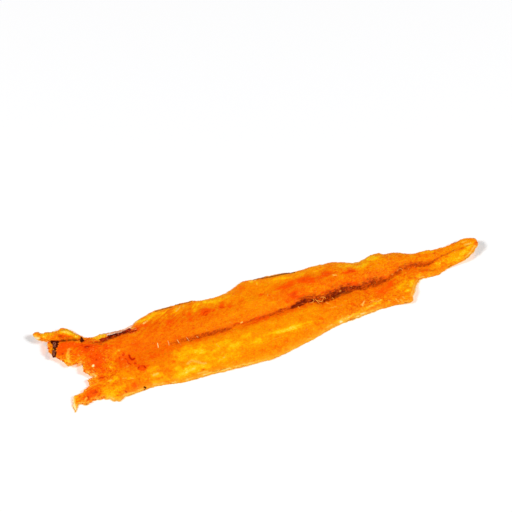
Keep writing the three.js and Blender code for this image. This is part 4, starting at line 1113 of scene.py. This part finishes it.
THREADS = [   # curled threads of skin and fibre that lie on the flesh
    [(25.8, 0.1), (26.8, -0.1), (27.9, 0.3), (27.8, 1.4)], [(28.5, 1.1), (29.0, -0.2), (29.5, -1.6)],
    [(28.7, 0.4), (29.6, -0.3), (30.8, -1.0)], [(30.8, -0.9), (31.3, -0.1), (32.0, 0.3)], [(30.7, 0.9), (31.6, 0.9), (32.4, 0.4), (32.5, -0.2)],
    [(32.0, -1.4), (32.3, -2.3), (33.0, -2.5)], [(21.2, 0.2), (21.3, -0.5), (21.6, -1.0)],
    [(35.0, -0.6), (35.5, -1.3)], 
    [(64.2, 2.8), (64.8, 3.15), (65.4, 2.8), (65.6, 2.2), (65.4, 1.6)], [(63.4, 2.4), (63.8, 2.6), (64.0, 3.0)],
    [(46.5, -5.8), (45.9, -6.7), (45.0, -7.6)], [(44.6, -7.0), (45.1, -7.5)],
    [(32.7, -4.5), (34.0, -4.65), (35.5, -4.6)], [(36.5, -4.7), (37.9, -4.8)],
    [(58.3, -9.1), (58.8, -10.2), (59.2, -11.1)], [(59.9, -9.8), (60.2, -10.7), (60.7, -11.4)], [(61.3, -8.9), (61.5, -9.5)],
    [(47.9, -7.6), (48.9, -7.3), (49.6, -7.5)], [(50.4, -6.6), (51.0, -7.2)], [(51.6, -6.5), (52.4, -7.1)],
    [(46.4, -9.0), (47.6, -8.6), (48.9, -8.6)], [(43.9, -9.6), (44.6, -9.3)],
    [(35.4, -10.8), (37.2, -10.5), (38.8, -10.3), (40.4, -10.1)], [(28.8, -12.2), (29.9, -11.8), (31.0, -11.5)],
    [(39.8, -11.0), (41.6, -10.5), (43.4, -10.4)], [(42.7, -11.4), (44.4, -11.2), (46.0, -11.0)],
    [(7.2, 16.4), (7.8, 16.7)], [(9.1, 14.2), (9.2, 15.1)], [(6.2, 17.0), (7.3, 16.9)],
    [(-13.8, -4.9), (-13.7, -6.0), (-12.9, -7.0)], [(-15.6, -11.0), (-15.0, -11.8), (-13.6, -12.2)],
    [(-24.1, 13.3), (-23.2, 14.1), (-22.2, 14.8)], [(-20.9, 14.8), (-21.3, 13.6)], [(-24.2, 14.3), (-23.4, 14.8)],
    [(-37.8, 12.2), (-36.9, 12.6), (-36.0, 12.9)], [(-40.7, 13.4), (-39.9, 13.7)],
    [(-26.7, -9.7), (-25.7, -9.15), (-24.4, -9.2), (-23.0, -10.1), (-21.4, -11.2), (-20.1, -11.5)],
    [(93.0, 5.0), (94.2, 5.1), (95.4, 5.0)], [(11.8, 9.3), (11.5, 8.2)], [(38.6, 1.1), (39.3, 1.35)],
    [(-63.3, -2.5), (-62.6, -3.1), (-61.8, -3.5)], [(-61.9, -0.6), (-61.3, -1.6), (-61.4, -2.6)],
    [(-65.2, 4.6), (-64.9, 3.9)], [(-58.4, 10.6), (-57.8, 10.9)],
]


def make_threads(material):
    rods = []
    for i, pts in enumerate(THREADS):
        q = rounded(np.array(pts, float), 0.12, 0.3 if len(pts) > 2 else 0.12)
        p = seen_on(q[:, 0], q[:, 1])
        h = np.hanning(7)[1:-1]
        p[:, 2] = np.convolve(np.pad(p[:, 2], 2, "edge"), h / h.sum(), "valid")
        t = np.linspace(0, 1, len(p))
        r = (0.070 + 0.034 * ((i * 7) % 5) / 4) * (1.4 if i < 8 else 1.0) * (0.35 + 0.65 * np.sin(np.pi * np.clip(t, 0.02, 0.98)) ** 0.6)
        p[:, 2] += 0.5 * r
        rods.append(rod(p, r, 6))
    return joined_rods("skin_threads", rods, material)


def make_crumbs(material):
    """Crumbs and short torn fibres along the tear at the head end."""
    rng = np.random.default_rng(41)
    N = loop_normals(RIM, 2)
    edge = np.where((RIM[:, 0] < -60.5) & (RIM[:, 1] < 17) & ((RIM[:, 0] > -69) | (RIM[:, 1] > -6))
                    & ((RIM[:, 1] < 12) | (RIM[:, 0] < -70)))[0]
    bm = bmesh.new()
    bmesh.ops.create_icosphere(bm, subdivisions=2, radius=1.0)
    ball = np.array([v.co[:] for v in bm.verts])
    tris = [tuple(v.index for v in f.verts) for f in bm.faces]
    bm.free()
    co, faces, tint, n = [], [], [], 0

    def add(c, f, hue):
        nonlocal n
        co.append(c)
        faces.extend(tuple(i + n for i in q) for q in f)
        tint.append(np.full(len(c), hue))
        n += len(c)

    pick = rng.choice(edge, 130, replace=False)
    P = RIM[pick] - N[pick] * (rng.gamma(1.5, 0.38, len(pick)) - 0.05)[:, None]
    for p, z in zip(P, on_flesh(P[:, 0], P[:, 1])):
        r = 0.12 + 0.22 * rng.random() ** 2
        turn, hue = rng.uniform(0, math.pi), rng.random()
        b = ball * (0.8 + 0.45 * rng.random((len(ball), 1))) * (r * rng.uniform(1.0, 1.7), r * rng.uniform(0.6, 1.0), 0.7 * r)
        c, s = math.cos(turn), math.sin(turn)
        b = np.stack([b[:, 0] * c - b[:, 1] * s, b[:, 0] * s + b[:, 1] * c, b[:, 2]], 1)
        add(b + (p[0], p[1], z + 0.15 * r), tris, hue)
    pick = rng.choice(edge, 60, replace=False)
    P = RIM[pick] - N[pick] * 0.5
    for i, p0, z0 in zip(pick, P, on_flesh(P[:, 0], P[:, 1])):
        a = math.atan2(N[i][1], N[i][0]) + rng.normal(0, 0.6)
        p1 = RIM[i] + np.array([math.cos(a), math.sin(a)]) * rng.uniform(0.2, 0.75)
        z1 = lift(p1[0], p1[1]) + rng.uniform(0.15, 0.6)
        t = np.linspace(0, 1, 7)[:, None]
        q = np.column_stack([p0 + (p1 - p0) * t + 0.08 * rng.normal(size=(7, 2)) * t, z0 + (z1 - z0) * t[:, 0]])
        c, f = rod(q, 0.11 - 0.085 * t[:, 0], 6)
        add(c, f, rng.random())
    return new_piece("torn_crumbs", np.vstack(co), faces, dict(tint=np.concatenate(tint)), material)


def make_lip(material):
    """Edge of the skin: a thin strip that stands out a little from under the flesh."""
    P = resample(RIM, 0.22)
    N = loop_normals(P, 3)
    x, y = P.T
    w = y - midline(x)
    low = through([[-80, 0.24], [-66, 0.24], [-62, 0.36], [-50, 0.26], [-44, 0.16], [-36, 0.14], [-24, 0.20], [-8, 0.20],
                   [0, 0.12], [14, 0.07], [24, 0.10], [34, 0.30], [46, 0.32], [56, 0.10], [62, 0.14], [64, 0.30],
                   [65.5, 0.62], [69.5, 0.66], [71.5, 0.4], [73, 0.12], [84, 0.12], [91, 0.26], [94, 0.32], [98, 0.28]])(x)
    high = through([[-80, 0.24], [-66, 0.20], [-63, 0.16], [-60, 0.10], [-53, 0.45], [-44, 0.60], [-40, 0.36], [-31, 0.14],
                    [-17, 0.16], [-8, 0.08], [4, 0.16], [12, 0.14], [24, 0.14], [34, 0.10], [44, 0.14], [49, 0.30], [55, 0.28], [59, 0.12],
                    [80, 0.12], [98, 0.22]])(x)
    notch = smooth(-55, -57, x) * smooth(14, 10, w) * smooth(-14, -11, w)
    reach = np.where(w < 0, low, high)
    reach = np.convolve(np.pad(reach, 6, "wrap"), np.ones(13) / 13, "valid") * (1 - 0.25 * notch)
    reach = reach * (0.35 + 1.3 * N3.fbm(x * 0.8, y * 0.8, 3)) + 0.04 * (N4.fbm(x * 3, y * 3, 2) - 0.5)
    reach = np.clip(reach, -0.12, 0.8)
    rings, lip = [], []
    for share, z, l in ((-1.0, 0.30, 0.0), (-1.0, 0.10, 0.0), (0.6, 0.04, 0.6), (1.0, 0.08, 1.0), (0.6, 0.15, 0.6),
                        (0.0, 0.24, 0.15)):
        off = np.where(share < 0, -0.45, reach * share)
        Q = P + N * off[:, None]
        rings.append(np.column_stack([Q, lift(Q[:, 0], Q[:, 1]) + z]))
        lip.append(np.full(len(P), l))
    n, m = len(P), len(rings)
    faces = []
    for i in range(n):
        j = (i + 1) % n
        for k in range(m):
            l = (k + 1) % m
            faces.append((k * n + i, k * n + j, l * n + j, l * n + i))
    return new_piece("skin_edge", np.vstack(rings), faces,
                     dict(lip=np.concatenate(lip),
                          back=np.tile((w > 0) * smooth(-44, -38, x) * smooth(92, 84, x), m),
                         rosy=np.tile((w > 0) * np.maximum(smooth(-57, -53, x) * smooth(-39, -42, x),
                                                           0.8 * smooth(44, 47, x) * smooth(56, 52, x)), m),
                         dash=np.tile((w < 0) * smooth(-46, -42, x) * np.maximum(smooth(63.5, 62, x), smooth(72, 74, x) * smooth(92, 86, x))
                                      * smooth(0.40, 0.60, N2.fbm(x * 0.7, y * 0.7, 3)), m)), material)


def film_material():
    k = Nodes("dark_membrane")
    speck = k.noise(k.coords((900, 1500, 1000)), 3, 0.65)
    pit = k.noise(k.coords((2300, 2500, 2300)), 2, 0.6)
    t = k.total(k.attr("film"), k.about(speck, 1.0), k.about(pit, 0.9))
    dots = k.noise(k.coords((1300, 3000, 2000)), 2, 0.6)
    col = k.ramp(t, -0.6, 2.5, [(-0.6, (40, 2, 0)), (0.0, (84, 14, 0)), (0.35, (128, 26, 0)), (0.60, (158, 32, 0)),
                                (0.90, (196, 44, 2)), (1.20, (240, 96, 20)), (1.45, (246, 138, 60)),
                                (1.75, (214, 138, 92)), (2.1, (236, 180, 146)), (2.5, (252, 222, 198))])
    dots = k.math("MULTIPLY", k.remap(dots, 0.58, 0.68, 0.0, 0.75), k.remap(k.attr("film"), -0.2, 0.0, 0.25, 1.0))
    col = k.mix(dots, col, lin(210, 112, 62))
    col = k.mix(k.math("MULTIPLY", k.attr("ring"), k.remap(pit, 0.35, 0.58, 0.15, 0.85)), col, lin(206, 126, 92))
    k.put(k.p.inputs["Base Color"], col)
    k.p.inputs["Roughness"].default_value = 0.5
    k.p.inputs["Specular IOR Level"].default_value = 0.03
    k.bump(k.total(speck, k.math("MULTIPLY", pit, 0.5)), 0.5, 0.0001)
    k.glow_through((0.60, 0.36, 0.22, 1))
    return k.m


def bone_material():
    k = Nodes("pin_bone")
    n = k.noise(k.coords((1500, 3000, 1500)), 2, 0.6)
    k.put(k.p.inputs["Base Color"], k.mix(k.remap(n, 0.35, 0.65), lin(255, 206, 98), lin(255, 230, 152)))
    k.p.inputs["Roughness"].default_value = 0.4
    k.p.inputs["Specular IOR Level"].default_value = 0.25
    return k.m


def thread_material():
    k = Nodes("skin_thread")
    n = k.noise(k.coords((900, 1500, 900)), 2, 0.6)
    k.put(k.p.inputs["Base Color"], k.mix(k.remap(n, 0.35, 0.65), lin(255, 146, 30), lin(255, 200, 84)))
    k.p.inputs["Roughness"].default_value = 0.5
    k.p.inputs["Specular IOR Level"].default_value = 0.04
    return k.m


def crumb_material():
    k = Nodes("torn_crumb")
    n = k.noise(k.coords((1500, 1800, 1500)), 2, 0.6)
    t = k.total(k.attr("tint"), k.about(n, 0.8))
    k.put(k.p.inputs["Base Color"], k.ramp(t, -0.2, 1.2, [
        (-0.2, (188, 66, 4)), (0.15, (226, 88, 2)), (0.45, (242, 118, 2)), (0.75, (249, 152, 10)), (1.0, (254, 190, 56)),
        (1.2, (255, 214, 112))]))
    k.p.inputs["Roughness"].default_value = 0.5
    k.p.inputs["Specular IOR Level"].default_value = 0.08
    k.glow_through((0.95, 0.60, 0.20, 1))
    return k.m


def lip_material():
    k = Nodes("pale_skin")
    n = k.noise(k.coords((700, 900, 700)), 3, 0.6)
    f = k.noise(k.coords((2000, 2000, 2000)), 2, 0.6)
    t = k.total(k.attr("lip"), k.about(n, 0.7), k.about(f, 0.3))
    col = k.ramp(t, 0.0, 1.3, [(0.0, (250, 148, 12)), (0.25, (246, 168, 44)), (0.45, (240, 180, 84)),
                               (0.75, (252, 210, 140)), (1.1, (255, 234, 200)), (1.3, (255, 242, 222))])
    brown = k.ramp(t, 0.0, 1.3, [(0.0, (240, 120, 4)), (0.30, (156, 64, 10)), (0.6, (190, 98, 40)),
                                 (1.0, (242, 190, 134)), (1.3, (252, 228, 200))])
    col = k.mix(k.math("MULTIPLY", k.attr("back"), k.remap(n, 0.30, 0.6, 0.4, 1.0)), col, brown)
    rosy = k.ramp(t, 0.0, 1.3, [(0.0, (206, 118, 70)), (0.45, (218, 144, 104)), (0.9, (240, 196, 164)), (1.3, (253, 232, 212))])
    col = k.mix(k.attr("rosy"), col, rosy)
    col = k.mix(k.math("MULTIPLY", k.attr("dash"), k.remap(n, 0.50, 0.66, 0.0, 0.6)), col, lin(196, 120, 44))
    k.put(k.p.inputs["Base Color"], col)
    k.p.inputs["Roughness"].default_value = 0.4
    k.p.inputs["Specular IOR Level"].default_value = 0.15
    k.glow_through((0.93, 0.80, 0.62, 1))
    return k.m


# ---------------------------------------------------------------- build
flesh = make_fillet(flesh_material())
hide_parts("fillet")
make_films(film_material())
make_bones(bone_material())
make_threads(thread_material())
make_crumbs(crumb_material())
make_lip(lip_material())

# ---------------------------------------------------------------- stage
# The usual view: 60 degrees above the table, turned 18.7 degrees about the fish.
TURN = math.radians(18.7146318)
CENTRE = (-3.70470908, -30.33703592)       # of the fish from the middle of the view, mm


def from_view(x, y, z):
    """A point given from the middle of the view (x right, y away, mm) in the frame."""
    dx, dy = x - CENTRE[0], y - CENTRE[1]
    c, s = math.cos(TURN), math.sin(TURN)
    return Vector(to_frame([(dx * c + dy * s, -dx * s + dy * c, z)])[0])


def aim(ob, target):
    ob.rotation_mode = "QUATERNION"
    ob.rotation_quaternion = (target - ob.location).to_track_quat("-Z", "Y")


cam_data = bpy.data.cameras.new("camera")
cam = bpy.data.objects.new("camera", cam_data)
bpy.context.scene.collection.objects.link(cam)
cam.location = from_view(0, -600 * math.cos(math.radians(60)), 600 * math.sin(math.radians(60)))
target = from_view(0, 0, 0)
view = (target - cam.location).normalized()
right = (from_view(1, 0, 0) - target).normalized()
up = right.cross(view)
cam.matrix_world = Matrix((
    (right.x, up.x, -view.x, cam.location.x), (right.y, up.y, -view.y, cam.location.y),
    (right.z, up.z, -view.z, cam.location.z), (0, 0, 0, 1)))
cam_data.sensor_width = 36.0
cam_data.lens = 1512.0 / 512.0 * 36.0
cam_data.clip_start, cam_data.clip_end = 0.01, 20
bpy.context.scene.camera = cam

me = bpy.data.meshes.new("table")
S = 1.6
me.from_pydata([(-S, -S, 0), (S, -S, 0), (S, S, 0), (-S, S, 0)], [], [(0, 1, 2, 3)])
table = bpy.data.objects.new("table", me)
table.location.z = NODE_LO.z - 0.00005
bpy.context.scene.collection.objects.link(table)
mt = Nodes("table")
mt.p.inputs["Base Color"].default_value = (0.93, 0.93, 0.935, 1)
mt.p.inputs["Roughness"].default_value = 0.7
mt.p.inputs["Specular IOR Level"].default_value = 0.1
me.materials.append(mt.m)

world = bpy.data.worlds.new("studio")
bpy.context.scene.world = world
world.use_nodes = True
bg = world.node_tree.nodes["Background"]
bg.inputs[0].default_value = (1, 1, 1, 1)
bg.inputs[1].default_value = 0.205


def softbox(name, azimuth, elevation, distance, size, power, color=(1, 1, 1)):
    ld = bpy.data.lights.new(name, "AREA")
    ld.shape = "SQUARE"
    ld.size = size
    ld.energy = power
    ld.color = color
    lo = bpy.data.objects.new(name, ld)
    a, e = math.radians(azimuth), math.radians(elevation)
    lo.location = from_view(1000 * distance * math.sin(a) * math.cos(e),
                            -1000 * distance * math.cos(a) * math.cos(e), 1000 * distance * math.sin(e))
    bpy.context.scene.collection.objects.link(lo)
    aim(lo, from_view(0, -30, 0))
    return lo


softbox("left_box", -75, 47, 2.0, 0.47, 24.4)
softbox("right_box", 78, 47, 2.0, 0.47, 24.4)

sc = bpy.context.scene
sc.view_settings.view_transform = "Standard"
sc.view_settings.look = "None"
sc.view_settings.exposure = 0.0
sc.view_settings.gamma = 1.0

bpy.context.view_layer.update()
